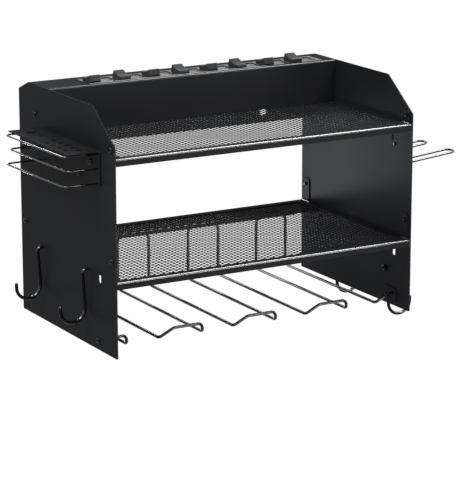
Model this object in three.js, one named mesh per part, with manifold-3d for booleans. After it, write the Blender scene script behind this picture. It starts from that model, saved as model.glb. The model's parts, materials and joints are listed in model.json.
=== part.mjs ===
// Wall mounted power tool organizer in folded sheet steel and bent wire.
// Two side panels carry two shelves, a charging strip, a wire holder with four slots
// and the hooks and racks on the outer faces. Lengths are in millimetres.
// The origin is on the wall plane, at the middle of the flange that takes the wall screws.
// +Z points up, +X to the right as one faces the organizer, and the front looks along -Y.

import * as THREE from 'three';
import { mergeVertices } from 'three/addons/utils/BufferGeometryUtils.js';
import Module from 'manifold-3d';

const wasm = await Module();
wasm.setup();

// Whole organizer
const width = 430;
const depth = 268;
const height = 306;
const panelSheet = 1.5;
const shelfSheet = 1.2;
const chamferRun = 58;
const chamferRise = 43;
const rearCutRun = 29;
const rearCutDrop = 12;

// Fits: the gap between pieces that touch, the play of a pin or screw, and the overrun of a cut
const seam = 0.3;
const play = 0.3;
const overrun = 3;

// Shelves
const lowerLevel = 97;
const stripRise = 56;
const lipDrop = 9.5;
const bendRadius = 1.4;
const frontLedge = 11;
const sideLedge = 10;
const lowerRearLedge = 12;
const wallFlangeDrop = 38;
const lowerFlangeDrop = 20;
const upperEarRise = 18;
const lowerEarRise = 33;
const earLength = 18;
const earCorner = 1.2;
const upperEarScrewRise = 9.5;
const lowerEarScrewRise = 24.5;

// Mesh in the shelves
const meshSheet = 1;
const meshBorder = 5;
const meshColumnPitch = 42;
const meshRowPitch = 18;
const meshWeb = 5;

// Keyholes in the wall flange
const keyholeSpacing = 300;
const keyholeHeadRadius = 5;
const keyholeNeckRadius = 2.6;
const keyholeRun = 9;

// Screws with a low round head
const screwRadius = 2;
const screwHeadRadius = 4;
const screwHeadHeight = 2.3;
const screwLength = 6;
const frontScrewInset = 10;
const rearScrewInset = 13;

// Charging strip
const stripDepth = 84;
const stripSheet = 1.2;
const windowInset = 3;
const windowDepth = 35;
const windowBeforeRocker = 13;
const windowPastOutlet = 15;
const stripScrewInset = 48;
const stripScrewDrop = 38;

// Rocker switches and outlets, which take turns along the strip
const outletCount = 8;
const outletPitchShare = 0.09977;
const rockerStartShare = 0.3302;
const rockerWidth = 15;
const rockerLength = 24;
const rockerHeight = 8.3;
const rockerDip = 1.6;
const rockerKeel = 7;
const rockerTaper = 0.9;
const rockerTilt = 13;
const rockerSide = 0.5;
const rockerSwing = 1.2;
const pivotRadius = 1.5;
const pivotReach = 1.8;
const pivotDrop = 1.5;
const cheekWall = 3.2;
const cheekDepth = 12;
const outletLength = 18;
const outletWidth = 29;
const outletRecess = 0.6;
const bladeSpacing = 12.7;
const bladeSlotLength = 9;
const bladeSlotWidth = 2.2;
const earthOffset = 5.6;
const earthRadius = 2.7;

// Moulded socket panel under the window
const mouldedTop = 3;
const mouldedWall = 2;
const mouldedDepth = 32;
const mouldedLip = 3;
const mouldedProud = 0.6;
const windowPlay = 0.4;

// Brass bus bars with a contact clip under each outlet
const barWidth = 4.6;
const barSheet = 1;
const barRise = 3;
const clipSheet = 0.6;
const clipGap = 1.4;
const clipLength = 6;
const clipBelow = 2.4;
const barOverhang = 6;

// Base cover of the strip
const coverTurnUp = 9;
const coverPlay = 0.5;

// Cord inlet in the right end of the strip
const glandBore = 4;
const glandNeck = 7;
const glandFlange = 10;
const glandFlangeThickness = 2.4;
const glandDrop = 22;
const glandInset = 26;

// Holder bent from one wire, with four slots
const holderWire = 4;
const slotCount = 4;
const slotWidth = 47;
const railHeight = 7.5;
const crossHeight = 17.5;
const holderFrontInset = 36;
const curlReach = 5.5;
const curlBend = 4.6;
const cornerBend = 4.2;
const riseRun = 21;
const riseBend = 12;
const rearBend = 10;
const clampedHeight = 81;

// Lugs that hold the ends of the holder wire to the side panels
const lugSheet = 1.5;
const lugWidth = 13;
const lugCorner = 3;
const lugScrewInset = 50;
const lugScrewHeight = 12;

// Clamp bar over the rear of the holder wire
const clampSheet = 1.2;
const clampFoot = 10;
const clampCover = 6.5;
const clampScrewLength = 1.9;

// J hooks
const hookWire = 4.4;
const hookBend = 5;
const hookStub = 7;
const hookLeg = 49;
const hookLean = 3;
const hookBowl = 17;
const hookTip = 6;
const hookThread = 4.6;
const hookNotchRoom = 1;
const nutRadius = 4.4;
const nutSides = 6;
const nutThickness = 3.2;
const leftHookShares = [0.291, 0.7687];
const rightHookShares = [0.209, 0.683];
const rightHookHeight = 47;

// Rack on the left panel
const rackSheet = 1.5;
const rackFrontInset = 37;
const rackLength = 168;
const rackPlateHeight = 43.5;
const rackTopRise = 3.5;
const rackReach = 45;
const rackScrewFromEnd = 24;
const rackLowScrewFromEnd = 55;
const rackHighScrewDrop = 17.5;
const rackLowScrewRise = 6;
const driverHoleRadius = 5;
const driverHoleCount = 5;
const driverHoleOut = 19;
const bitHoleRadius = 3.4;
const bitHoleCount = 4;
const bitHoleOut = 34;
const rackHolePitchShare = 0.101;
const plierSlotLength = 34;
const plierSlotWidth = 16;
const plierSlotCorner = 3.4;
const plierSlotOut = 22;
const plierSlotRearShare = 0.214;
const rackWire = 2.4;
const rackWireDrops = [4.1, 22.5, 40.9];
const rackWireReaches = [46.5, 41.7, 46.5];
const rackWireSplay = 5;
const rackWireInset = 5;
const rackWireBend = 7;

// Hairpin holder on the right panel
const sidePlateSheet = 2;
const sidePlateCorner = 2;
const sidePlateFrontInset = 22;
const sidePlateLength = 98;
const sidePlateHeight = 48;
const sidePlateDrop = 21;
const sidePlateScrewDrop = 12;
const hairpinWire = 3;
const hairpinSpacing = 18;
const hairpinInsets = [39, 102];
const hairpinReach = 87;
const hairpinFromPlateFoot = 10;
const hairpinRise = 8;

// See-through slots in the side panels
const panelSlotWidth = 2;
const upperPanelSlot = { inset: 43, lowFromShelf: -31, highFromShelf: -20 };
const leftPanelSlot = { inset: 44.4, lowFromShelf: -9, highFromShelf: 5 };
const rightPanelSlot = { inset: 37.7, lowFromShelf: -28, highFromShelf: -18 };

// How finely round forms are faceted
const holeSides = 8;
const wireSides = 8;
const thinWireSides = 6;
const screwSides = 8;
const glandSides = 12;
const bendSteps = 3;
const sheetBendSteps = 2;

// What the bend of a bowl or a loop stays under half of its span, so that a straight bit is left
const bowlSlack = 0.3;

// Sizes that follow from those above
const inside = width - 2 * panelSheet;
const span = inside - 2 * seam;
const upperLevel = height - stripRise;
const mountHeight = upperLevel - wallFlangeDrop / 2;
const stripTop = height;
const firstRocker = -rockerStartShare * width;
const outletPitch = outletPitchShare * width;
const rockerCentre = -stripDepth + windowInset + windowDepth / 2;
const pivotHeight = stripTop + mouldedProud - pivotDrop;
const windowStart = firstRocker - windowBeforeRocker;
const windowEnd = firstRocker + (outletCount - 1 / 2) * outletPitch + windowPastOutlet;
const barHeight = stripTop - mouldedDepth + barRise;
const slotPitch = width / slotCount;
const slotMargin = (slotPitch - slotWidth) / 2;
const clampScrewSpacing = 2 * slotPitch;
const leftHookInsets = leftHookShares.map((share) => share * depth);
const rightHookInsets = rightHookShares.map((share) => share * depth);
const rackTop = upperLevel + rackTopRise;
const rackBottom = rackTop - rackPlateHeight;
const rackHighScrew = rackTop - rackHighScrewDrop;
const rackLowScrew = rackBottom + rackLowScrewRise;
const rackHolePitch = rackHolePitchShare * rackLength;
const sidePlateTop = upperLevel - sidePlateDrop;
const sidePlateBottom = sidePlateTop - sidePlateHeight;
const sidePlateScrewHeight = sidePlateTop - sidePlateScrewDrop;
const hairpinHeight = sidePlateBottom + hairpinFromPlateFoot;

// Finishes
const steel = new THREE.MeshStandardMaterial({ color: 0x1b1c1e, roughness: 0.5, metalness: 0.3 });
const wire = new THREE.MeshStandardMaterial({ color: 0x111213, roughness: 0.25, metalness: 0.4 });
const screwBlack = new THREE.MeshStandardMaterial({ color: 0x18191b, roughness: 0.35, metalness: 0.6 });
const panelPlastic = new THREE.MeshStandardMaterial({ color: 0x151618, roughness: 0.25, metalness: 0 });
const rockerPlastic = new THREE.MeshStandardMaterial({ color: 0x4a4c4f, roughness: 0.45, metalness: 0 });
const brass = new THREE.MeshStandardMaterial({ color: 0xb98d3a, roughness: 0.35, metalness: 1 });
const rubber = new THREE.MeshStandardMaterial({ color: 0x121212, roughness: 0.8, metalness: 0 });

const organizer = new THREE.Group();
const cabinet = new THREE.Group();
cabinet.position.z = -mountHeight;
organizer.add(cabinet);

function place(name, geometry, material, position = [0, 0, 0], rotation = [0, 0, 0], parent = cabinet) {
  const mesh = new THREE.Mesh(geometry, material);
  mesh.name = name;
  mesh.position.set(...position);
  mesh.rotation.set(...rotation);
  parent.add(mesh);
  return mesh;
}

// Outlines in a plane, as closed lists of points
function shapeOf(points) {
  return new THREE.Shape(points.map(([u, v]) => new THREE.Vector2(u, v)));
}

function rectangle(u0, u1, v0, v1) {
  return [[u0, v0], [u1, v0], [u1, v1], [u0, v1]];
}

function circle(u, v, radius, sides = holeSides) {
  const turns = Array.from({ length: sides }, (_, i) => 2 * Math.PI * (i + 0.5) / sides);
  return turns.map((turn) => [u + radius * Math.cos(turn), v + radius * Math.sin(turn)]);
}

function cutCorners(u0, u1, v0, v1, corner) {
  return [[u0 + corner, v0], [u1 - corner, v0], [u1, v0 + corner], [u1, v1 - corner],
    [u1 - corner, v1], [u0 + corner, v1], [u0, v1 - corner], [u0, v0 + corner]];
}

function withHoles(points, holes) {
  const shape = shapeOf(points);
  for (const hole of holes) shape.holes.push(new THREE.Path(shapeOf(hole).getPoints()));
  return shape;
}

// Straight extrusions of a shape along one axis, between two stations
function along(shape, low, high, basis) {
  const geometry = new THREE.ExtrudeGeometry(shape, { depth: high - low, bevelEnabled: false });
  geometry.translate(0, 0, low);
  return geometry.applyMatrix4(basis);
}

const axisX = new THREE.Vector3(1, 0, 0);
const axisY = new THREE.Vector3(0, 1, 0);
const axisZ = new THREE.Vector3(0, 0, 1);
const basisX = new THREE.Matrix4().makeBasis(axisY, axisZ, axisX);
const basisY = new THREE.Matrix4().makeBasis(axisX, axisZ, axisY.clone().negate());
const basisZ = new THREE.Matrix4();

// An outline in Y and Z, run along X
function alongX(shape, x0, x1) {
  return along(shape, x0, x1, basisX);
}

// An outline in X and Z, run along Y
function alongY(shape, y0, y1) {
  return along(shape, -y1, -y0, basisY);
}

// An outline in X and Y, run along Z
function alongZ(shape, z0, z1) {
  return along(shape, z0, z1, basisZ);
}

function block(x0, x1, y0, y1, z0, z1) {
  return alongZ(shapeOf(rectangle(x0, x1, y0, y1)), z0, z1);
}

// Joins and cuts of closed solids
function solid(geometry) {
  const bare = geometry.clone();
  bare.deleteAttribute('normal');
  bare.deleteAttribute('uv');
  const merged = mergeVertices(bare);
  const vertProperties = new Float32Array(merged.attributes.position.array);
  const triVerts = new Uint32Array(merged.index.array);
  return new wasm.Manifold(new wasm.Mesh({ numProp: 3, vertProperties, triVerts }));
}

function geometryOf(manifold) {
  const mesh = manifold.getMesh();
  const geometry = new THREE.BufferGeometry();
  geometry.setAttribute('position', new THREE.BufferAttribute(mesh.vertProperties, 3));
  geometry.setIndex(new THREE.BufferAttribute(mesh.triVerts, 1));
  geometry.computeVertexNormals();
  return geometry;
}

function build(parts, cuts = []) {
  let whole = solid(parts[0]);
  for (const part of parts.slice(1)) whole = whole.add(solid(part));
  for (const cut of cuts) whole = whole.subtract(solid(cut));
  return geometryOf(whole);
}

// A route through corner points, with each corner turned into an arc
function roundedRoute(corners, radii, steps = bendSteps) {
  const points = corners.map((corner) => new THREE.Vector3(...corner));
  const stations = [];
  points.forEach((point, i) => {
    const into = i > 0 ? point.clone().sub(points[i - 1]).normalize() : null;
    const out = i < points.length - 1 ? points[i + 1].clone().sub(point).normalize() : null;
    if (!into || !out) {
      stations.push({ point, tangent: out ?? into });
      return;
    }
    const radius = Array.isArray(radii) ? radii[i - 1] : radii;
    const turn = into.angleTo(out);
    const inward = out.clone().addScaledVector(into, -into.dot(out)).normalize();
    const start = point.clone().addScaledVector(into, -radius * Math.tan(turn / 2));
    const centre = start.clone().addScaledVector(inward, radius);
    for (let step = 0; step <= steps; step += 1) {
      const angle = turn * step / steps;
      const place = centre.clone().addScaledVector(inward, -radius * Math.cos(angle));
      place.addScaledVector(into, radius * Math.sin(angle));
      const tangent = into.clone().multiplyScalar(Math.cos(angle));
      tangent.addScaledVector(inward, Math.sin(angle));
      stations.push({ point: place, tangent });
    }
  });
  return stations;
}

// Folded sheet: a route in a plane, thickened by half a sheet to either side
function foldedOutline(corners, sheet, bend = bendRadius) {
  const stations = roundedRoute(corners.map(([u, v]) => [u, v, 0]), bend, sheetBendSteps);
  const side = (sign) => stations.map(({ point, tangent }) => [
    point.x - sign * tangent.y * sheet / 2, point.y + sign * tangent.x * sheet / 2]);
  return shapeOf([...side(-1), ...side(1).reverse()]);
}

// A curve whose even steps fall on the stations of a route
class StationCurve extends THREE.Curve {
  constructor(stations) {
    super();
    this.stations = stations;
  }

  between(u) {
    const at = u * (this.stations.length - 1);
    const low = Math.min(Math.floor(at), this.stations.length - 2);
    return [this.stations[low], this.stations[low + 1], at - low];
  }

  getPointAt(u, target = new THREE.Vector3()) {
    const [from, to, share] = this.between(u);
    return target.lerpVectors(from.point, to.point, share);
  }

  getTangentAt(u, target = new THREE.Vector3()) {
    const [from, to, share] = this.between(u);
    return target.lerpVectors(from.tangent, to.tangent, share).normalize();
  }
}

function bentWire(stations, diameter, sides = wireSides) {
  const section = shapeOf(circle(0, 0, diameter / 2, sides));
  const extrudePath = new StationCurve(stations);
  return new THREE.ExtrudeGeometry(section, { steps: stations.length - 1, extrudePath, bevelEnabled: false });
}

// A turned piece about the X axis, from a profile of [distance along X, radius]
function turned(profile, sides) {
  const points = profile.map(([at, radius]) => new THREE.Vector2(radius, at));
  const geometry = new THREE.LatheGeometry(points, sides);
  return geometry.rotateZ(-Math.PI / 2);
}

// Screws: the head points along +X with its underside at zero
function buttonScrew(length) {
  const crownShare = 0.6;
  return turned([[-length, 0], [-length, screwRadius], [0, screwRadius], [0, screwHeadRadius],
    [screwHeadHeight, screwHeadRadius * crownShare], [screwHeadHeight, 0]], screwSides);
}

const outwardTurn = { left: [0, 0, Math.PI], right: [0, 0, 0] };
const outward = { left: -1, right: 1 };

function panelScrew(name, side, inset, at, lift = seam, length = screwLength) {
  const x = outward[side] * (width / 2 + lift);
  place(name, buttonScrew(length), screwBlack, [x, inset - depth, at], outwardTurn[side]);
}

// Places of the screws that hold shelves, strip and holder between the panels, as [inset, height]
const seats = {
  upper_front: [frontScrewInset, upperLevel + upperEarScrewRise],
  lower_front: [frontScrewInset, lowerLevel + lowerEarScrewRise],
  holder: [lugScrewInset, lugScrewHeight],
  strip: [depth - stripScrewInset, stripTop - stripScrewDrop],
  lower_rear: [depth - rearScrewInset, lowerLevel + lowerEarScrewRise],
};

// Side panels
function slotHole({ inset, lowFromShelf, highFromShelf }, level) {
  const low = inset - depth - panelSlotWidth / 2;
  return rectangle(low, low + panelSlotWidth, level + lowFromShelf, level + highFromShelf);
}

const rackScrewPlaces = [
  [rackFrontInset + rackScrewFromEnd, rackHighScrew],
  [rackFrontInset + rackLowScrewFromEnd, rackLowScrew],
  [rackFrontInset + rackLength - rackScrewFromEnd, rackHighScrew],
];

const extraHoles = {
  left: [
    ...leftHookInsets.map((inset) => circle(inset - depth, lowerLevel, hookWire / 2 + play)),
    ...rackScrewPlaces.map(([inset, at]) => circle(inset - depth, at, screwRadius + play)),
    slotHole(leftPanelSlot, lowerLevel),
  ],
  right: [
    ...rightHookInsets.map((inset) => circle(inset - depth, rightHookHeight, hookWire / 2 + play)),
    ...hairpinInsets.map((inset) => circle(inset - depth, sidePlateScrewHeight, screwRadius + play)),
    circle(-glandInset, stripTop - glandDrop, glandNeck + play, glandSides),
    slotHole(rightPanelSlot, lowerLevel),
    slotHole(upperPanelSlot, upperLevel),
  ],
};

function sidePanel(side) {
  const outline = [[-depth, 0], [0, 0], [0, height - rearCutDrop], [-rearCutRun, height],
    [chamferRun - depth, height], [-depth, height - chamferRise]];
  const screwHoles = Object.values(seats).map(([inset, at]) => circle(inset - depth, at, screwRadius + play));
  const shape = withHoles(outline, [...screwHoles, ...extraHoles[side]]);
  const outer = outward[side] * width / 2;
  const inner = outward[side] * inside / 2;
  return alongX(shape, Math.min(outer, inner), Math.max(outer, inner));
}

for (const side of ['left', 'right']) {
  place(`side_panel_${side}`, sidePanel(side), steel);
  for (const [seat, [inset, at]] of Object.entries(seats)) {
    panelScrew(`panel_screw_${side}_${seat}`, side, inset, at);
  }
}

// Shelves: lip, floor and wall flange are one fold, with a window in the floor for the mesh
function shelf({ level, earRise, screwRise, rearDrop, rearLedge, rearEar }) {
  const half = shelfSheet / 2;
  const fold = foldedOutline([[-depth + half, level - lipDrop], [-depth + half, level - half],
    [-half, level - half], [-half, level - rearDrop]], shelfSheet);
  const parts = [alongX(fold, -span / 2, span / 2)];
  const cuts = [block(-span / 2 + sideLedge, span / 2 - sideLedge, frontLedge - depth, -rearLedge,
    level - shelfSheet - overrun, level + overrun)];
  const earInsets = rearEar ? [frontScrewInset, depth - rearScrewInset] : [frontScrewInset];
  for (const edge of [-1, 1]) {
    const outer = edge * span / 2;
    const inner = outer - edge * shelfSheet;
    const x0 = Math.min(outer, inner);
    const x1 = Math.max(outer, inner);
    for (const inset of earInsets) {
      const low = inset - depth - earLength / 2;
      const ear = cutCorners(low, low + earLength, level - shelfSheet, level + earRise, earCorner);
      const hole = circle(inset - depth, level + screwRise, screwRadius + play);
      parts.push(alongX(withHoles(ear, [hole]), x0, x1));
    }
  }
  return { parts, cuts };
}

function keyhole(x, at) {
  const head = alongY(shapeOf(circle(x, at, keyholeHeadRadius)), -shelfSheet - overrun, overrun);
  const neckShape = shapeOf(rectangle(x - keyholeNeckRadius, x + keyholeNeckRadius, at, at + keyholeRun));
  const neck = alongY(neckShape, -shelfSheet - overrun, overrun);
  const tipShape = shapeOf(circle(x, at + keyholeRun, keyholeNeckRadius));
  const tip = alongY(tipShape, -shelfSheet - overrun, overrun);
  return [head, neck, tip];
}

const upper = shelf({ level: upperLevel, earRise: upperEarRise, screwRise: upperEarScrewRise,
  rearDrop: wallFlangeDrop, rearLedge: stripDepth + seam, rearEar: false });
const keyholeHeight = mountHeight - keyholeRun / 2;
for (const edge of [-1, 1]) upper.cuts.push(...keyhole(edge * keyholeSpacing / 2, keyholeHeight));
place('upper_shelf', build(upper.parts, upper.cuts), steel);

// The left edge of the lower shelf is notched round the inner ends of the hooks
function hookNotch(inset) {
  const halfWide = nutRadius + hookNotchRoom;
  const y = inset - depth;
  return block(-span / 2 - overrun, -span / 2 + hookThread + hookNotchRoom, y - halfWide, y + halfWide,
    lowerLevel - shelfSheet - overrun, lowerLevel + overrun);
}

const lower = shelf({ level: lowerLevel, earRise: lowerEarRise, screwRise: lowerEarScrewRise,
  rearDrop: lowerFlangeDrop, rearLedge: lowerRearLedge, rearEar: true });
const clampScrewHeight = clampedHeight + holderWire / 2 + 2 * clampSheet + screwHeadRadius;
for (const edge of [-1, 1]) {
  const hole = circle(edge * clampScrewSpacing / 2, clampScrewHeight, screwRadius + play);
  lower.cuts.push(alongY(shapeOf(hole), -shelfSheet - overrun, overrun));
}
lower.cuts.push(...leftHookInsets.map(hookNotch));
place('lower_shelf', build(lower.parts, lower.cuts), steel);

// Mesh under the floor's window: staggered diamond openings with an even web between them
function meshPlate(rearLedge) {
  const x1 = span / 2 - sideLedge + meshBorder;
  const y0 = frontLedge - meshBorder - depth;
  const y1 = -rearLedge + meshBorder;
  const halfWide = (meshColumnPitch - meshWeb) / 2;
  const halfDeep = meshRowPitch - meshWeb / 2;
  const rows = Math.floor((y1 - y0 - 2 * meshBorder - 2 * halfDeep) / meshRowPitch) + 1;
  const columns = Math.floor((2 * x1 - 2 * meshBorder - 2 * halfWide) / meshColumnPitch) + 1;
  const holes = [];
  for (let row = 0; row < rows; row += 1) {
    const y = (y0 + y1) / 2 + (row - (rows - 1) / 2) * meshRowPitch;
    const count = columns - row % 2;
    for (let column = 0; column < count; column += 1) {
      const x = (column - (count - 1) / 2) * meshColumnPitch;
      holes.push([[x - halfWide, y], [x, y - halfDeep], [x + halfWide, y], [x, y + halfDeep]]);
    }
  }
  return alongZ(withHoles(rectangle(-x1, x1, y0, y1), holes), -meshSheet, 0);
}

place('upper_shelf_mesh', meshPlate(stripDepth + seam), steel, [0, 0, upperLevel - shelfSheet - seam]);
place('lower_shelf_mesh', meshPlate(lowerRearLedge), steel, [0, 0, lowerLevel - shelfSheet - seam]);

// Charging strip: a folded housing that stands on the upper shelf between the panels
function stripHousing() {
  const half = stripSheet / 2;
  const foot = upperLevel + seam;
  const back = -seam - half;
  const profile = [[half - stripDepth, foot], [half - stripDepth, stripTop - half],
    [-rearCutRun - half, stripTop - half], [back, stripTop - rearCutDrop - half], [back, foot]];
  const shell = alongX(foldedOutline(profile, stripSheet), -span / 2, span / 2);
  const capCorners = profile.map(([y, z]) => [y, Math.max(z, foot + seam), 0]);
  const middle = roundedRoute(capCorners, bendRadius, sheetBendSteps);
  const end = shapeOf(middle.map(({ point }) => [point.x, point.y]));
  const leftEnd = alongX(end, seam - span / 2, seam - span / 2 + stripSheet);
  const rightEnd = alongX(end, span / 2 - stripSheet - seam, span / 2 - seam);
  const windowFront = windowInset - stripDepth;
  const window = block(windowStart, windowEnd, windowFront, windowFront + windowDepth,
    stripTop - stripSheet - overrun, stripTop + overrun);
  const screwHole = circle(-stripScrewInset, stripTop - stripScrewDrop, screwRadius + play);
  const screwHoles = alongX(shapeOf(screwHole), -span / 2 - overrun, span / 2 + overrun);
  const glandHole = circle(-glandInset, stripTop - glandDrop, glandNeck + play, glandSides);
  const glandCut = alongX(shapeOf(glandHole), span / 2 - stripSheet - seam - overrun, span / 2 + overrun);
  return build([shell, leftEnd, rightEnd], [window, screwHoles, glandCut]);
}

place('strip_housing', stripHousing(), steel);

// Moulded socket panel: it fills the window and hangs under it as an open box
const rockerPlaces = Array.from({ length: outletCount }, (_, i) => firstRocker + i * outletPitch);
const outletPlaces = rockerPlaces.map((x) => x + outletPitch / 2);
const bladeRows = [rockerCentre - bladeSpacing / 2, rockerCentre + bladeSpacing / 2];
const barRows = [bladeRows[0], rockerCentre, bladeRows[1]];
const clipOffsets = [0, earthOffset, 0];
const clipTop = stripTop + mouldedProud - mouldedTop - clipBelow;

function socketPanel() {
  const x0 = windowStart + windowPlay;
  const x1 = windowEnd - windowPlay;
  const y0 = windowInset - stripDepth + windowPlay;
  const y1 = windowInset + windowDepth - stripDepth - windowPlay;
  const face = stripTop + mouldedProud;
  const under = stripTop - stripSheet - seam;
  const floor = face - mouldedTop;
  const bottom = stripTop - mouldedDepth;
  const lipOut = Math.min(mouldedLip, windowInset - stripSheet - seam);
  const box = block(x0, x1, y0, y1, bottom, face);
  const lip = block(x0 - mouldedLip, x1 + mouldedLip, y0 - lipOut, y1 + mouldedLip,
    floor - mouldedTop, under);
  const hollow = block(x0 + mouldedWall, x1 - mouldedWall, y0 + mouldedWall, y1 - mouldedWall,
    bottom - overrun, floor);
  const halfWell = rockerWidth / 2 + rockerSide;
  const halfRoom = (rockerLength + rockerSwing) / 2 + rockerSide;
  const cheeks = [];
  const cuts = [];
  for (const x of rockerPlaces) {
    cheeks.push(block(x - halfWell - cheekWall, x + halfWell + cheekWall, y0 + mouldedWall / 2,
      y1 - mouldedWall / 2, face - cheekDepth, floor + mouldedTop / 2));
    cuts.push(block(x - halfWell, x + halfWell, rockerCentre - halfRoom, rockerCentre + halfRoom,
      face - cheekDepth - overrun, face + overrun));
    const pocket = rockerWidth / 2 + pivotReach + play;
    cuts.push(alongX(shapeOf(circle(rockerCentre, pivotHeight, pivotRadius + play)), x - pocket, x + pocket));
  }
  for (const x of outletPlaces) {
    cuts.push(block(x - outletLength / 2, x + outletLength / 2, rockerCentre - outletWidth / 2,
      rockerCentre + outletWidth / 2, face - outletRecess, face + overrun));
    for (const y of bladeRows) {
      cuts.push(block(x - bladeSlotLength / 2, x + bladeSlotLength / 2, y - bladeSlotWidth / 2,
        y + bladeSlotWidth / 2, floor - overrun, face + overrun));
    }
    const earth = circle(x + earthOffset, rockerCentre, earthRadius);
    cuts.push(alongZ(shapeOf(earth), floor - overrun, face + overrun));
    barRows.forEach((y, row) => {
      const middle = x + clipOffsets[row];
      const halfLong = clipLength / 2 + play;
      const halfWide = clipGap / 2 + clipSheet + play;
      cuts.push(block(middle - halfLong, middle + halfLong, y - halfWide, y + halfWide,
        barHeight, clipTop + play));
    });
  }
  for (const y of barRows) {
    cuts.push(block(x0 - overrun, x1 + overrun, y - barWidth / 2 - play, y + barWidth / 2 + play,
      barHeight - play, barHeight + barSheet + play));
  }
  return build([build([box, lip], [hollow]), ...cheeks], cuts);
}

place('socket_panel', socketPanel(), panelPlastic);

// Rocker switches: the side view is run along X, and the pivot pins stand out of it
function rocker() {
  const end = rockerLength / 2;
  const crown = end - rockerTaper;
  const keelEndShare = 0.55;
  const side = shapeOf([[-end, 0], [-end * keelEndShare, -rockerKeel], [end * keelEndShare, -rockerKeel],
    [end, 0], [crown, rockerHeight], [0, rockerHeight - rockerDip], [-crown, rockerHeight]]);
  const body = alongX(side, -rockerWidth / 2, rockerWidth / 2);
  const reach = rockerWidth / 2 + pivotReach;
  const pins = alongX(shapeOf(circle(0, 0, pivotRadius, wireSides)), -reach, reach);
  return build([body, pins]);
}

const rockerGeometry = rocker();
rockerPlaces.forEach((x, i) => {
  const tilt = THREE.MathUtils.degToRad(i % 2 === 0 ? -rockerTilt : rockerTilt);
  place(`rocker_${i + 1}`, rockerGeometry, rockerPlastic, [x, rockerCentre, pivotHeight], [tilt, 0, 0]);
});

// Bus bars: a flat bar through the socket panel's end walls, with two leaves under each outlet
function busBar(row) {
  const x0 = windowStart - barOverhang;
  const x1 = windowEnd + barOverhang;
  const y = barRows[row];
  const parts = [block(x0, x1, y - barWidth / 2, y + barWidth / 2, barHeight, barHeight + barSheet)];
  for (const outlet of outletPlaces) {
    const x = outlet + clipOffsets[row];
    for (const side of [-1, 1]) {
      const inner = y + side * clipGap / 2;
      const outer = inner + side * clipSheet;
      parts.push(block(x - clipLength / 2, x + clipLength / 2,
        Math.min(inner, outer), Math.max(inner, outer), barHeight, clipTop));
    }
  }
  return build(parts);
}

['bus_bar_line', 'bus_bar_earth', 'bus_bar_neutral'].forEach((name, row) => place(name, busBar(row), brass));

// Base cover: a shallow tray that closes the strip from below
function baseCover() {
  const half = stripSheet / 2;
  const front = -stripDepth + stripSheet + coverPlay + half;
  const back = -seam - stripSheet - coverPlay - half;
  const floor = upperLevel + seam + half;
  const tray = foldedOutline([[front, floor + coverTurnUp], [front, floor], [back, floor],
    [back, floor + coverTurnUp]], stripSheet);
  const reach = span / 2 - seam - stripSheet - coverPlay;
  return alongX(tray, -reach, reach);
}

place('strip_base_cover', baseCover(), steel);

// Cord inlet: a flanged bush through the right panel and the strip's end wall
function cordGland() {
  const wall = panelSheet + 2 * seam + stripSheet;
  const back = -wall - seam;
  return turned([[back - glandFlangeThickness, glandBore], [back - glandFlangeThickness, glandFlange],
    [back, glandFlange], [back, glandNeck], [seam, glandNeck], [seam, glandFlange],
    [seam + glandFlangeThickness, glandFlange], [seam + 2 * glandFlangeThickness, glandNeck],
    [seam + 2 * glandFlangeThickness, glandBore], [back - glandFlangeThickness, glandBore]], glandSides);
}

place('cord_gland', cordGland(), rubber, [width / 2, -glandInset, stripTop - glandDrop]);

// Holder wire: it runs from the left panel to the right one, down and back round each slot
const holderFront = holderFrontInset - depth;
const holderBack = -shelfSheet - seam - holderWire / 2;
const holderEnd = inside / 2 - seam - lugSheet - seam;

function drillHolder() {
  const corners = [[-holderEnd, holderFront, crossHeight]];
  const radii = [];
  const add = (corner, radius) => {
    corners.push(corner);
    radii.push(radius);
  };
  for (let slot = 0; slot < slotCount; slot += 1) {
    const left = -width / 2 + slotMargin + slot * slotPitch;
    const right = left + slotWidth;
    add([left, holderFront, crossHeight], curlBend);
    add([left, holderFront - curlReach, railHeight], curlBend);
    add([left, holderBack, railHeight], rearBend);
    add([left, holderBack, clampedHeight], rearBend);
    add([right, holderBack, clampedHeight], rearBend);
    add([right, holderBack, railHeight], rearBend);
    add([right, holderFront, railHeight], cornerBend);
    add([right + riseRun, holderFront, crossHeight], riseBend);
  }
  corners.push([holderEnd, holderFront, crossHeight]);
  return bentWire(roundedRoute(corners, radii), holderWire);
}

place('drill_holder_wire', drillHolder(), wire);

// Lugs: each takes one end of the holder wire and the lowest screw of a side panel
function wireLug() {
  const reach = lugWidth / 2;
  const low = Math.min(lugScrewHeight, crossHeight) - reach;
  const high = Math.max(lugScrewHeight, crossHeight) + reach;
  const outline = cutCorners(holderFront - reach, lugScrewInset - depth + reach, low, high, lugCorner);
  const hole = circle(lugScrewInset - depth, lugScrewHeight, screwRadius + play);
  return alongX(withHoles(outline, [hole]), 0, lugSheet);
}

const lugGeometry = wireLug();
place('wire_lug_left', lugGeometry, steel, [-span / 2, 0, 0]);
place('wire_lug_right', lugGeometry, steel, [span / 2 - lugSheet, 0, 0]);

// Clamp bar: a joggled strip that holds the rear of the holder wire to the lower shelf's flange
function clampBar() {
  const half = clampSheet / 2;
  const footY = -shelfSheet - seam - half;
  const coverY = -shelfSheet - 2 * seam - holderWire - half;
  const step = clampedHeight + holderWire / 2 + clampSheet;
  const fold = foldedOutline([[footY, step + clampFoot], [footY, step], [coverY, step],
    [coverY, step - clampCover]], clampSheet, half);
  const reach = (span - slotMargin) / 2;
  const holes = [-1, 1].map((edge) => {
    const hole = circle(edge * clampScrewSpacing / 2, clampScrewHeight, screwRadius + play);
    return alongY(shapeOf(hole), footY - overrun, footY + overrun);
  });
  return build([alongX(fold, -reach, reach)], holes);
}

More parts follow.
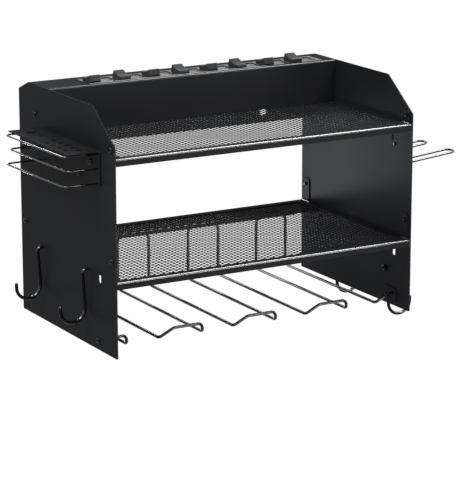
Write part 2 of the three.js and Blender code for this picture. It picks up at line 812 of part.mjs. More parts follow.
place('wire_clamp_bar', clampBar(), steel);
const clampFace = -shelfSheet - 2 * seam - clampSheet;
[-1, 1].forEach((edge, i) => {
  place(`clamp_screw_${i + 1}`, buttonScrew(clampScrewLength), screwBlack,
    [edge * clampScrewSpacing / 2, clampFace, clampScrewHeight], [0, 0, -Math.PI / 2]);
});

// J hooks: a threaded stub through the panel, a leg close to it and a round bowl
function jHook() {
  const start = -panelSheet - seam - hookThread;
  const leg = hookStub - hookLean;
  const bowl = leg + 2 * hookBowl;
  const low = -hookLeg - hookBowl;
  const corners = [[start, 0, 0], [hookStub, 0, 0], [leg, 0, -hookLeg], [leg, 0, low], [bowl, 0, low],
    [bowl, 0, hookTip - hookLeg]];
  const bowlBend = hookBowl - bowlSlack;
  return bentWire(roundedRoute(corners, [hookBend, hookBend, bowlBend, bowlBend]), hookWire);
}

function hexNut() {
  const shape = withHoles(circle(0, 0, nutRadius, nutSides), [circle(0, 0, hookWire / 2 + play)]);
  return alongX(shape, -nutThickness, 0);
}

const hookGeometry = jHook();
const nutGeometry = hexNut();
const hookRows = { left: [leftHookInsets, lowerLevel], right: [rightHookInsets, rightHookHeight] };
for (const [side, [insets, at]] of Object.entries(hookRows)) {
  ['front', 'rear'].forEach((where, i) => {
    const y = insets[i] - depth;
    place(`hook_${side}_${where}`, hookGeometry, wire, [outward[side] * width / 2, y, at], outwardTurn[side]);
    const nutFace = outward[side] * (inside / 2 - seam);
    place(`hook_nut_${side}_${where}`, nutGeometry, screwBlack, [nutFace, y, at], outwardTurn[side]);
  });
}

// Rack on the left panel: a folded plate with holes in its top, and three wire guards
const rackFace = -width / 2 - seam - rackSheet;
const rackFront = rackFrontInset - depth;
const rackRear = rackFront + rackLength;

function rackPlate() {
  const half = rackSheet / 2;
  const fold = foldedOutline([[rackFace + half, rackBottom], [rackFace + half, rackTop - half],
    [-width / 2 - rackReach, rackTop - half]], rackSheet);
  const cuts = rackScrewPlaces.map(([inset, at]) => {
    const hole = circle(inset - depth, at, screwRadius + play);
    return alongX(shapeOf(hole), rackFace - overrun, rackFace + overrun);
  });
  const punch = (points) => alongZ(shapeOf(points), rackTop - rackSheet - overrun, rackTop + overrun);
  for (let i = 0; i < driverHoleCount; i += 1) {
    const y = rackFront + (i + 1) * rackHolePitch;
    cuts.push(punch(circle(-width / 2 - driverHoleOut, y, driverHoleRadius)));
  }
  for (let i = 0; i < bitHoleCount; i += 1) {
    const y = rackFront + (i + 3 / 2) * rackHolePitch;
    cuts.push(punch(circle(-width / 2 - bitHoleOut, y, bitHoleRadius)));
  }
  const slotX = -width / 2 - plierSlotOut;
  const slotY = rackRear - plierSlotRearShare * rackLength;
  cuts.push(punch(cutCorners(slotX - plierSlotWidth / 2, slotX + plierSlotWidth / 2,
    slotY - plierSlotLength / 2, slotY + plierSlotLength / 2, plierSlotCorner)));
  return build([alongY(fold, rackFront, rackRear)], cuts);
}

place('tool_rack_plate', rackPlate(), steel);

rackWireDrops.forEach((drop, i) => {
  const at = rackTop - drop;
  const start = rackFace - seam;
  const out = -width / 2 - rackWireReaches[i];
  const front = rackFront + rackWireInset;
  const rear = rackRear - rackWireInset;
  const corners = [[start, front, at], [out, front, at], [out - rackWireSplay, rear, at], [start, rear, at]];
  const guard = bentWire(roundedRoute(corners, rackWireBend), rackWire, thinWireSides);
  place(`rack_wire_${i + 1}`, guard, wire);
});

rackScrewPlaces.forEach(([inset, at], i) => {
  panelScrew(`rack_screw_${i + 1}`, 'left', inset, at, 2 * seam + rackSheet);
});

// Hairpin holder on the right panel: a plate with two hairpins that slope up to their loops
function sidePlate() {
  const y0 = sidePlateFrontInset - depth;
  const outline = cutCorners(y0, y0 + sidePlateLength, sidePlateBottom, sidePlateTop, sidePlateCorner);
  const holes = hairpinInsets.map((inset) => circle(inset - depth, sidePlateScrewHeight, screwRadius + play));
  const face = width / 2 + seam;
  return alongX(withHoles(outline, holes), face, face + sidePlateSheet);
}

place('side_holder_plate', sidePlate(), steel);

function hairpin() {
  const half = hairpinSpacing / 2;
  const tip = [hairpinReach, hairpinRise];
  const corners = [[0, -half, 0], [tip[0], -half, tip[1]], [tip[0], half, tip[1]], [0, half, 0]];
  return bentWire(roundedRoute(corners, half - bowlSlack), hairpinWire);
}

const hairpinGeometry = hairpin();
const hairpinFace = width / 2 + 2 * seam + sidePlateSheet;
hairpinInsets.forEach((inset, i) => {
  const name = ['side_hairpin_front', 'side_hairpin_rear'][i];
  place(name, hairpinGeometry, wire, [hairpinFace, inset - depth, hairpinHeight]);
});

hairpinInsets.forEach((inset, i) => {
  panelScrew(`side_holder_screw_${i + 1}`, 'right', inset, sidePlateScrewHeight, 2 * seam + sidePlateSheet);
});

export default organizer;
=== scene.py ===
"""Blender scene of a wall mounted organizer in folded black steel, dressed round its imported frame.

Shapes are modelled in millimetres in the maker's own frame, whose height is counted from the
foot of the side panels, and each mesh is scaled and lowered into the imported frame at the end.
"""

from __future__ import annotations

import json
import logging
import math
from collections.abc import Iterable
from dataclasses import dataclass, field
from enum import Enum, auto
from typing import ClassVar

import bmesh
import bpy
from bmesh.types import BMEdge, BMesh, BMFace, BMVert
from bpy.types import ID, Material, Node, NodeSocket, NodeTree, Object
from mathutils import Matrix, Vector

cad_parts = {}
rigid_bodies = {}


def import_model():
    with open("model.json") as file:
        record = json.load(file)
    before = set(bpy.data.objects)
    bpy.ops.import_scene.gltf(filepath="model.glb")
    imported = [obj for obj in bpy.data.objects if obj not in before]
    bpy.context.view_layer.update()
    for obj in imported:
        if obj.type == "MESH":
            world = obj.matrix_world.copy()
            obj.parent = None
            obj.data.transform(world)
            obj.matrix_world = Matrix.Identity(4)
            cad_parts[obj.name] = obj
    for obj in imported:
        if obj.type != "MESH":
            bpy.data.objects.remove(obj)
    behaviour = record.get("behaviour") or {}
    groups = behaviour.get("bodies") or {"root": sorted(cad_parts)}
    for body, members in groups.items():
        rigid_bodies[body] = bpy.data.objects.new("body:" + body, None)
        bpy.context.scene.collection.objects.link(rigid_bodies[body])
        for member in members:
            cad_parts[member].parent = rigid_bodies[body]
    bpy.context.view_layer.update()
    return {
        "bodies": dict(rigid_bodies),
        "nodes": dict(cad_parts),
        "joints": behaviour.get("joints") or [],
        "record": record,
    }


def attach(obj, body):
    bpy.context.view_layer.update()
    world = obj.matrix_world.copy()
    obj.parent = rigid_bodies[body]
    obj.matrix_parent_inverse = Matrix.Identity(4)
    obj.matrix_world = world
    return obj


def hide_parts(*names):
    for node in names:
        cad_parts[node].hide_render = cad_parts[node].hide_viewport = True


LOG = logging.getLogger("organizer")

MILLIMETRE = 0.001
MOUNT_HEIGHT = 231.0
TO_FRAME = Matrix.Scale(MILLIMETRE, 4) @ Matrix.Translation((0.0, 0.0, -MOUNT_HEIGHT))
ROOT = "root"
HOLE_SIDES = 24
FOLD_STEPS = 5
TOUCH = 1e-3
BETWEEN_BENDS = 0.3
# Face mark that raises the coat's gloss and also lightens the colour as a painted highlight
GLOSS_AND_HIGHLIGHT_MARK = "gloss"
WHITE = (1.0, 1.0, 1.0, 1.0)

Pair = tuple[float, float]
Triple = tuple[float, float, float]

ALONG_X: Triple = (1, 0, 0)
ALONG_Y: Triple = (0, 1, 0)
ALONG_Z: Triple = (0, 0, 1)


class Finish(Enum):
    """Material slots of the record, one for each finish."""

    COATED = "powder_coat"
    DIPPED = "black_wire"
    FASTENER = "black_fastener"
    MOULDED = "socket_plastic"
    ROCKER = "rocker_plastic"
    BRASS = "brass"
    RUBBER = "rubber"


class Side(Enum):
    """The two side panels, with the direction in which each looks out."""

    LEFT = -1
    RIGHT = 1

    @property
    def key(self) -> str:
        """The side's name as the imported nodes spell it."""
        return self.name.lower()

    @property
    def outward(self) -> Matrix:
        """The turn that points +X out of the panel."""
        return Matrix.Rotation(math.pi, 4, "Z") if self is Side.LEFT else Matrix.Identity(4)


class Rim(Enum):
    """The kinds of rim in the face of the socket panel."""

    OUTER = auto()
    WELL = auto()
    OUTLET = auto()


# Planes, outlines and folds


def plane_x(x: float) -> Matrix:
    """Return the upright plane at x, which takes (u, v) to Y and Z."""
    return Matrix(((0, 0, 1, x), (1, 0, 0, 0), (0, 1, 0, 0), (0, 0, 0, 1)))


def plane_y(y: float) -> Matrix:
    """Return the upright plane at y, which takes (u, v) to X and Z."""
    return Matrix(((1, 0, 0, 0), (0, 0, -1, y), (0, 1, 0, 0), (0, 0, 0, 1)))


def plane_z(z: float) -> Matrix:
    """Return the level plane at z, which takes (u, v) to X and Y."""
    return Matrix.Translation((0.0, 0.0, z))


def rectangle(u0: float, u1: float, v0: float, v1: float) -> list[Pair]:
    """Return the corners of a rectangle."""
    return [(u0, v0), (u1, v0), (u1, v1), (u0, v1)]


def of_kind(made: dict, kind: type) -> list:
    """Return the vertices, edges or faces among what an operator made."""
    return [item for item in made["geom"] if isinstance(item, kind)]


def everything(bm: BMesh) -> list:
    """Return all that a mesh holds."""
    return bm.verts[:] + bm.edges[:] + bm.faces[:]


def new_edges(bm: BMesh, known: set[BMEdge]) -> list[BMEdge]:
    """Return the edges of a mesh that weren't known before."""
    return [edge for edge in bm.edges if edge not in known]


def middle_of(edge: BMEdge) -> Vector:
    """Return the middle of an edge."""
    return (edge.verts[0].co + edge.verts[1].co) / 2


def round_off(bm: BMesh, parts: list, width: float, strips: int, affect: str = "VERTICES") -> None:
    """Round corners or edges off.

    Args:
        bm: Mesh to work on.
        parts: The vertices or edges.
        width: Length that each loses on either side.
        strips: Strips across the rounding.
        affect: VERTICES or EDGES.
    """
    bmesh.ops.bevel(
        bm, geom=parts, offset=width, offset_type="OFFSET", segments=strips, profile=0.5,
        affect=affect, material=-1,
    )


def fill(bm: BMesh, rims: list[BMEdge], normal: Triple) -> list[BMFace]:
    """Close the area between some rims and return its faces."""
    filled = bmesh.ops.triangle_fill(bm, use_beauty=True, use_dissolve=False, edges=rims, normal=normal)
    return of_kind(filled, BMFace)


def add_loop(bm: BMesh, plane: Matrix, outline: list[Pair], rounding: float = 0.0) -> None:
    """Draw a closed outline as edges and round its corners.

    Args:
        bm: Mesh that takes the edges.
        plane: Plane of the outline.
        outline: Corners in the plane.
        rounding: Length that each corner loses on either side, or zero.
    """
    corners = [bm.verts.new(plane @ Vector((u, v, 0.0))) for u, v in outline]
    for pair in zip(corners, corners[1:] + corners[:1]):
        bm.edges.new(pair)
    if rounding:
        round_off(bm, corners, rounding, 4)


@dataclass(frozen=True)
class RoundHole:
    """A round hole."""

    u: float
    v: float
    radius: float

    def cut(self, bm: BMesh, plane: Matrix) -> None:
        """Draw the rim of the hole.

        Args:
            bm: Mesh that takes the rim.
            plane: Plane of the sheet.
        """
        turn = Matrix.Rotation(math.pi / HOLE_SIDES, 4, "Z")
        place = plane @ Matrix.Translation((self.u, self.v, 0.0)) @ turn
        bmesh.ops.create_circle(bm, cap_ends=False, radius=self.radius, segments=HOLE_SIDES, matrix=place)


@dataclass(frozen=True)
class SquareHole:
    """A four-sided hole between two corners, with rounded corners."""

    u0: float
    u1: float
    v0: float
    v1: float
    rounding: float = 0.0

    @classmethod
    def about(cls, u: float, v: float, half: Pair, rounding: float) -> SquareHole:
        """Return the hole round a middle that reaches half its width and height."""
        return cls(u - half[0], u + half[0], v - half[1], v + half[1], rounding)

    def cut(self, bm: BMesh, plane: Matrix) -> None:
        """Draw the rim of the hole in a plane."""
        add_loop(bm, plane, rectangle(self.u0, self.u1, self.v0, self.v1), self.rounding)


@dataclass(frozen=True)
class Keyhole:
    """A round hole with a narrow neck above it, for the head and the shank of a wall screw."""

    u: float
    v: float
    head: float = 5.0
    neck: float = 2.6
    run: float = 9.0
    steps: ClassVar[int] = 16

    def cut(self, bm: BMesh, plane: Matrix) -> None:
        """Draw the rim of the keyhole.

        Args:
            bm: Mesh that takes the rim.
            plane: Plane of the sheet.
        """
        half = math.asin(self.neck / self.head)
        rim: list[Pair] = []
        for radius, rise, start, turn in (
            (self.head, 0.0, math.pi / 2 + half, math.tau - 2 * half), (self.neck, self.run, 0.0, math.pi),
        ):
            angles = [start + turn * i / self.steps for i in range(self.steps + 1)]
            rim += [(self.u + radius * math.cos(a), self.v + rise + radius * math.sin(a)) for a in angles]
        add_loop(bm, plane, rim)


Hole = RoundHole | SquareHole | Keyhole


def start_mesh() -> BMesh:
    """Start an empty mesh whose faces carry the gloss mark, which also sets a painted highlight.

    Returns:
        The mesh.
    """
    bm = bmesh.new()
    bm.faces.layers.float.new(GLOSS_AND_HIGHLIGHT_MARK)
    return bm


def mark_gloss_and_highlight(bm: BMesh, faces: Iterable[BMFace], share: float) -> None:
    """Note how far the coat on some faces shines more than on the flat, and how far a painted highlight
    lightens their colour.

    Args:
        bm: Mesh of the faces.
        faces: The faces.
        share: 1 on a bend, 0 on the flat.
    """
    layer = bm.faces.layers.float[GLOSS_AND_HIGHLIGHT_MARK]
    for face in faces:
        face[layer] = share


def cut_sheet(
    bm: BMesh, plane: Matrix, outline: list[Pair], holes: Iterable[Hole] = (), rounding: float = 0.0
) -> None:
    """Cut a flat sheet of no thickness to an outline with holes.

    Args:
        bm: Mesh that takes the faces.
        plane: Plane of the sheet.
        outline: Corners of the sheet.
        holes: Holes in the sheet.
        rounding: Rounding of the outer corners.
    """
    known = set(bm.edges)
    add_loop(bm, plane, outline, rounding)
    for hole in holes:
        hole.cut(bm, plane)
    normal = plane.to_3x3() @ Vector(ALONG_Z)
    mark_gloss_and_highlight(bm, fill(bm, new_edges(bm, known), normal), 0.0)


def edges_along(bm: BMesh, start: Triple, end: Triple) -> list[BMEdge]:
    """Find the edges on the straight line between two points.

    Args:
        bm: Mesh to search.
        start: One end of the line.
        end: Its other end.

    Returns:
        The edges.
    """
    a = Vector(start)
    line = Vector(end) - a

    def on_line(point: Vector) -> bool:
        """Tell whether a point lies on the line."""
        share = (point - a).dot(line) / line.length_squared
        return -TOUCH < share < 1 + TOUCH and (a + line * share - point).length < TOUCH * 10

    return [edge for edge in bm.edges if all(on_line(vert.co) for vert in edge.verts)]


def fold(
    bm: BMesh, edges: list[BMEdge], pivot: Triple, axis: Triple, degrees: float, gloss: float = 1.0
) -> list[BMEdge]:
    """Fold a sheet on from some edges round a pivot line.

    Args:
        bm: Mesh of the sheet.
        edges: Edges at which the bend starts.
        pivot: A point of the bend's own axis.
        axis: Direction of that axis.
        degrees: Turn of the bend.
        gloss: How far the coat shines on the bend and a painted highlight lightens its colour, from 0 to 1.

    Returns:
        The edges at which the bend ends.
    """
    known = set(bm.faces)
    turned = bmesh.ops.spin(
        bm, geom=edges, cent=pivot, axis=axis, angle=math.radians(degrees), steps=FOLD_STEPS,
        use_duplicate=False,
    )
    mark_gloss_and_highlight(bm, set(bm.faces) - known, gloss)
    return [item for item in turned["geom_last"] if isinstance(item, BMEdge)]


def fold_across(
    bm: BMesh, reach: float, start: Pair, pivot: Pair, degrees: float, gloss: float = 1.0
) -> list[BMEdge]:
    """Fold a sheet on from its edge across the organizer, reach long to either side, as fold does."""
    edges = edges_along(bm, (-reach, *start), (reach, *start))
    return fold(bm, edges, (0, *pivot), ALONG_X, degrees, gloss)


def draw_out(bm: BMesh, edges: list[BMEdge], vec: Triple) -> list[BMEdge]:
    """Extend a sheet straight on from some edges.

    Args:
        bm: Mesh of the sheet.
        edges: Edges to start from.
        vec: Where they go.

    Returns:
        The new end edges.
    """
    drawn = bmesh.ops.extrude_edge_only(bm, edges=edges)
    verts = of_kind(drawn, BMVert)
    bmesh.ops.translate(bm, verts=verts, vec=vec)
    mark_gloss_and_highlight(bm, of_kind(drawn, BMFace), 0.0)
    return [edge for edge in of_kind(drawn, BMEdge) if set(edge.verts) <= set(verts)]


def close_up(bm: BMesh) -> None:
    """Weld what touches and point all the faces one way."""
    bmesh.ops.remove_doubles(bm, verts=bm.verts, dist=TOUCH * 5)
    bmesh.ops.recalc_face_normals(bm, faces=bm.faces)


def lathe(bm: BMesh, profile: Iterable[Pair], steps: int) -> None:
    """Turn a profile of (distance along X, radius) about the X axis.

    Args:
        bm: Mesh that takes the turned faces.
        profile: Points from one end to the other.
        steps: Steps of the full turn.
    """
    verts = [bm.verts.new((at, 0.0, radius)) for at, radius in profile]
    edges = [bm.edges.new(pair) for pair in zip(verts, verts[1:])]
    bmesh.ops.spin(
        bm, geom=verts + edges, cent=(0, 0, 0), axis=ALONG_X, angle=math.tau, steps=steps, use_merge=True
    )
    close_up(bm)


def put_in_scene(name: str, data: ID) -> Object:
    """Make an object of the scene.

    Args:
        name: Name of the object.
        data: Mesh, curve, lamp or camera that it shows.

    Returns:
        The object.
    """
    made = bpy.data.objects.new(name, data)
    bpy.context.scene.collection.objects.link(made)
    return made


def keep_mesh(bm: BMesh, name: str) -> Object:
    """Put a modelled mesh in the scene.

    Args:
        bm: The mesh, which is freed.
        name: Name of the mesh and its object.

    Returns:
        The object.
    """
    mesh = bpy.data.meshes.new(name)
    bm.to_mesh(mesh)
    bm.free()
    return put_in_scene(name, mesh)


# Finishes


class NodeDraft:
    """A node tree under construction."""

    def __init__(self, tree: NodeTree) -> None:
        """Take the tree."""
        self.tree = tree

    def add(self, kind: str, inputs: dict[str | int, object] | None = None, **settings: object) -> Node:
        """Add a node.

        Args:
            kind: Type of the node, without its leading ShaderNode.
            inputs: What each input gets, as for feed.
            **settings: The node's own settings.

        Returns:
            The node.
        """
        node = self.tree.nodes.new(f"ShaderNode{kind}")
        for key, value in settings.items():
            setattr(node, key, value)
        self.feed(node, inputs or {})
        return node

    def feed(self, node: Node, inputs: dict[str | int, object]) -> None:
        """Fill a node's inputs.

        Args:
            node: The node.
            inputs: For each input, by name or number, its value, the output that feeds it,
                or a node whose first output in use feeds it.
        """
        for label, source in inputs.items():
            if isinstance(source, Node):
                source = next(output for output in source.outputs if output.enabled)
            if isinstance(source, NodeSocket):
                self.tree.links.new(source, node.inputs[label])
            else:
                node.inputs[label].default_value = source


class GroupDraft(NodeDraft):
    """A shader node group under construction, with named inputs and outputs."""

    def __init__(self, name: str, inputs: dict[str, float | None], outputs: tuple[str, ...]) -> None:
        """Start a group.

        Args:
            name: Name of the group.
            inputs: Default of each value input, or None for a vector.
            outputs: Names of the value outputs.
        """
        super().__init__(bpy.data.node_groups.new(name, "ShaderNodeTree"))
        for label, default in inputs.items():
            kind = "NodeSocketVector" if default is None else "NodeSocketFloat"
            socket = self.tree.interface.new_socket(name=label, in_out="INPUT", socket_type=kind)
            if default is not None:
                socket.default_value = default
        for label in outputs:
            self.tree.interface.new_socket(name=label, in_out="OUTPUT", socket_type="NodeSocketFloat")
        self.given = self.tree.nodes.new("NodeGroupInput").outputs
        self.sink = self.tree.nodes.new("NodeGroupOutput")

    def close(self, **results: Node) -> NodeTree:
        """Feed the group's outputs and return the group."""
        self.feed(self.sink, results)
        return self.tree


def soft_mottle_group() -> NodeTree:
    """Build the group that gives a slow, soft change over a surface.

    Returns:
        The group.
    """
    draft = GroupDraft("soft_mottle", {"Vector": None, "Scale": 12.0, "Contrast": 1.0}, ("Mask",))
    given = draft.given
    noise = draft.add("TexNoise", {"Vector": given["Vector"], "Scale": given["Scale"], "Detail": 4.0})
    spread = draft.add(
        "MapRange", {"Value": noise, "From Min": 0.32, "From Max": 0.68}, interpolation_type="SMOOTHSTEP"
    )
    return draft.close(Mask=draft.add("Math", {0: spread, 1: given["Contrast"]}, operation="MULTIPLY"))


def fine_relief_group() -> NodeTree:
    """Build the group that gives the height of a fine grain with a slower ripple under it.

    Returns:
        The group.
    """
    draft = GroupDraft(
        "fine_relief", {"Vector": None, "Grain Scale": 1400.0, "Ripple Scale": 260.0, "Ripple Share": 0.5},
        ("Height",),
    )
    given = draft.given
    grain, ripple = (
        draft.add("TexNoise", {"Vector": given["Vector"], "Scale": given[label], "Detail": detail})
        for label, detail in (("Grain Scale", 2.0), ("Ripple Scale", 1.0))
    )
    blend = {"Factor": given["Ripple Share"], "A": grain, "B": ripple}
    return draft.close(Height=draft.add("Mix", blend, data_type="FLOAT"))


def rim_wear_and_highlight_group() -> NodeTree:
    """Build the group that marks rims where a coat is thin or rubbed and where a painted highlight lightens
    the colour, broken up by noise.

    Returns:
        The group.
    """
    asked = {"Vector": None, "Sharpness": 0.0, "Start": 0.01, "End": 0.3}
    draft = GroupDraft("rim_wear_and_highlight", asked, ("Mask", "Rim"))
    given = draft.given
    span = {"Value": given["Sharpness"], "From Min": given["Start"], "From Max": given["End"]}
    rim = draft.add("MapRange", span, interpolation_type="SMOOTHSTEP")
    noise = draft.add("TexNoise", {"Vector": given["Vector"], "Scale": 90.0, "Detail": 5.0})
    breakup = draft.add("MapRange", {"Value": noise, "From Min": 0.35, "From Max": 0.65, "To Min": 0.6})
    return draft.close(Mask=draft.add("Math", {0: rim, 1: breakup}, operation="MULTIPLY"), Rim=rim)


@dataclass(frozen=True)
class SurfaceFinish:
    """A finish: its colours, gloss and fine relief, at the scale of the real surface; its rubbed colour at
    edges and marked bends is partly wear, partly a painted highlight.
    """

    slot: Finish
    colour: Triple
    mottled: Triple
    # colour at edges and marked bends: partly edge wear, partly a painted highlight
    rubbed_and_highlight: Triple
    roughness: Pair
    mottle_scale: float = 14.0
    metallic: float = 0.0
    specular: float = 0.5
    coat: float = 0.0
    coat_roughness: float = 0.08
    coat_ior: float = 1.5
    grain_scale: float = 1400.0
    ripple_scale: float = 260.0
    ripple_share: float = 0.5
    relief: float = 0.00005
    bump: float = 0.5
    # how far edges and marked bends take that colour, partly wear and partly a painted highlight
    rub_and_highlight_share: float = 0.5
    rim_reach: float = 0.0009
    edge_share: float = 2.0
    rim_coat: float = 0.0
    grazing_roughness: float = 0.0
    grazing: ClassVar[Pair] = (0.54, 0.8)

    def build(self, groups: dict[str, NodeTree]) -> Material:
        """Build the material.

        Args:
            groups: The shared node groups by name.

        Returns:
            The finished material.
        """
        material = bpy.data.materials.new(f"{self.slot.value}_finish")
        material.use_nodes = True
        material.diffuse_color = (*self.colour, 1.0)
        draft = NodeDraft(material.node_tree)
        place = draft.add("TexCoord").outputs["Object"]
        mottle = draft.add("Group", node_tree=groups["soft_mottle"])
        draft.feed(mottle, {"Vector": place, "Scale": self.mottle_scale})
        relief = draft.add("Group", node_tree=groups["fine_relief"])
        draft.feed(relief, {
            "Vector": place, "Grain Scale": self.grain_scale, "Ripple Scale": self.ripple_scale,
            "Ripple Share": self.ripple_share,
        })
        edges = draft.add("Group", node_tree=groups["rim_wear_and_highlight"])
        draft.feed(edges, {"Vector": place, "Sharpness": self.find_edges(draft)})
        # Edges and marked bends take the rubbed colour, partly wear and partly a painted highlight.
        base = {"Factor": mottle, "A": (*self.colour, 1.0), "B": (*self.mottled, 1.0)}
        rub = draft.add("Math", {0: edges.outputs["Mask"], 1: self.rub_and_highlight_share}, operation="MULTIPLY")
        worn_and_highlit = {"Factor": rub, "A": draft.add("Mix", base, data_type="RGBA"), "B": (*self.rubbed_and_highlight, 1.0)}
        shader = draft.tree.nodes["Principled BSDF"]
        draft.feed(shader, {
            "Base Color": draft.add("Mix", worn_and_highlit, data_type="RGBA"),
            "Roughness": self.roughen(draft, mottle),
            "Normal": draft.add("Bump", {"Strength": self.bump, "Distance": self.relief, "Height": relief}),
            "Metallic": self.metallic,
            "Specular IOR Level": self.specular,
            "Coat Weight": self.coat,
            "Coat Roughness": self.coat_roughness,
            "Coat IOR": self.coat_ior,
        })
        if self.rim_coat > self.coat:
            rim = {"Value": edges.outputs["Rim"], "To Min": self.coat, "To Max": self.rim_coat}
            draft.feed(shader, {"Coat Weight": draft.add("MapRange", rim)})
        return material

    def find_edges(self, draft: NodeDraft) -> Node:
        """Tell how close an edge is, or how far the gloss mark says that the coat shines and the colour is
        lightened as a painted highlight.

        Args:
            draft: The material's nodes.

        Returns:
            The node that gives the larger of the two.
        """
        normal = draft.add("NewGeometry").outputs["Normal"]
        rounded = draft.add("Bevel", {"Radius": self.rim_reach})
        agree = draft.add("VectorMath", {0: normal, 1: rounded}, operation="DOT_PRODUCT")
        share = self.edge_share
        sharp = draft.add("Math", {0: agree, 1: -share, 2: share}, operation="MULTIPLY_ADD")
        marked = draft.add("Attribute", attribute_name=GLOSS_AND_HIGHLIGHT_MARK).outputs["Fac"]
        return draft.add("Math", {0: sharp, 1: marked}, operation="MAXIMUM")

    def roughen(self, draft: NodeDraft, mottle: Node) -> Node:
        """Spread the roughness, which some finishes raise where they are seen at a low angle.

        Args:
            draft: The material's nodes.
            mottle: The node of the slow change over the surface.

        Returns:
            The node that gives the roughness.
        """
        smooth, dull = self.roughness
        rough = draft.add("MapRange", {"Value": mottle, "To Min": smooth, "To Max": dull})
        if not self.grazing_roughness:
            return rough
        veil = draft.add("MapRange", {
            "Value": draft.add("LayerWeight").outputs["Facing"], "From Min": self.grazing[0],
            "From Max": self.grazing[1], "To Max": self.grazing_roughness,
        })
        return draft.add("Math", {0: rough, 1: veil}, operation="ADD", use_clamp=True)


# Each rubbed colour lightens edges and marked bends: partly wear, partly a painted highlight.
FINISHES = (
    SurfaceFinish(
        slot=Finish.COATED, colour=(0.0058, 0.0060, 0.0065), mottled=(0.0074, 0.0076, 0.0082),
        rubbed_and_highlight=(0.050, 0.051, 0.054), roughness=(0.30, 0.36), mottle_scale=7.0, specular=0.011,
        coat_ior=1.55, rim_coat=1.0, rim_reach=0.0006, edge_share=0.25, grazing_roughness=0.35,
        grain_scale=1500.0, ripple_scale=420.0, ripple_share=0.45, relief=0.00006, bump=0.3, rub_and_highlight_share=0.6,
    ),
    SurfaceFinish(
        slot=Finish.DIPPED, colour=(0.0022, 0.0022, 0.0024), mottled=(0.0032, 0.0032, 0.0035),
        rubbed_and_highlight=(0.012, 0.012, 0.013), roughness=(0.12, 0.18), mottle_scale=40.0, specular=0.03,
        coat_roughness=0.05, rim_coat=1.0, rim_reach=0.0003,
        grain_scale=900.0, ripple_scale=180.0, ripple_share=0.8, relief=0.00004, bump=0.06, rub_and_highlight_share=0.1,
    ),
    SurfaceFinish(
        slot=Finish.FASTENER, colour=(0.0016, 0.0016, 0.0018), mottled=(0.0026, 0.0026, 0.0028),
        rubbed_and_highlight=(0.020, 0.020, 0.020), roughness=(0.18, 0.26), mottle_scale=160.0, specular=0.02,
        coat=0.22, coat_roughness=0.10, rim_reach=0.0003,
        grain_scale=2600.0, ripple_scale=700.0, ripple_share=0.3, relief=0.00003, bump=0.25, rub_and_highlight_share=0.15,
    ),
    SurfaceFinish(
        slot=Finish.MOULDED, colour=(0.0055, 0.0056, 0.0060), mottled=(0.0075, 0.0076, 0.0082),
        rubbed_and_highlight=(0.024, 0.024, 0.026), roughness=(0.14, 0.22), mottle_scale=22.0, specular=0.12,
        coat=0.06, coat_roughness=0.06, rim_coat=1.0, rim_reach=0.0012, grazing_roughness=0.04,
        grain_scale=2200.0, ripple_scale=120.0, ripple_share=0.85, relief=0.00003, bump=0.15, rub_and_highlight_share=0.3,
    ),
    SurfaceFinish(
        slot=Finish.ROCKER, colour=(0.0085, 0.0090, 0.0098), mottled=(0.0115, 0.0120, 0.0128),
        rubbed_and_highlight=(0.040, 0.041, 0.044), roughness=(0.34, 0.44), mottle_scale=60.0, specular=0.14,
        rim_reach=0.0005, grain_scale=2400.0, ripple_scale=900.0, ripple_share=0.3, bump=0.35, rub_and_highlight_share=0.4,
    ),
    SurfaceFinish(
        slot=Finish.BRASS, colour=(0.62, 0.41, 0.14), mottled=(0.50, 0.32, 0.10),
        rubbed_and_highlight=(0.80, 0.62, 0.32), roughness=(0.22, 0.38), mottle_scale=70.0, metallic=1.0,
        grain_scale=1800.0, ripple_scale=500.0, ripple_share=0.4, relief=0.00003, bump=0.3, rub_and_highlight_share=0.4,
    ),
    SurfaceFinish(
        slot=Finish.RUBBER, colour=(0.010, 0.010, 0.010), mottled=(0.016, 0.016, 0.016),
        rubbed_and_highlight=(0.036, 0.036, 0.036), roughness=(0.58, 0.74), mottle_scale=60.0, specular=0.3,
        grain_scale=1600.0, ripple_scale=500.0, ripple_share=0.4, relief=0.00006, rub_and_highlight_share=0.3,
    ),
)


# Workshop: turns meshes into dressed pieces


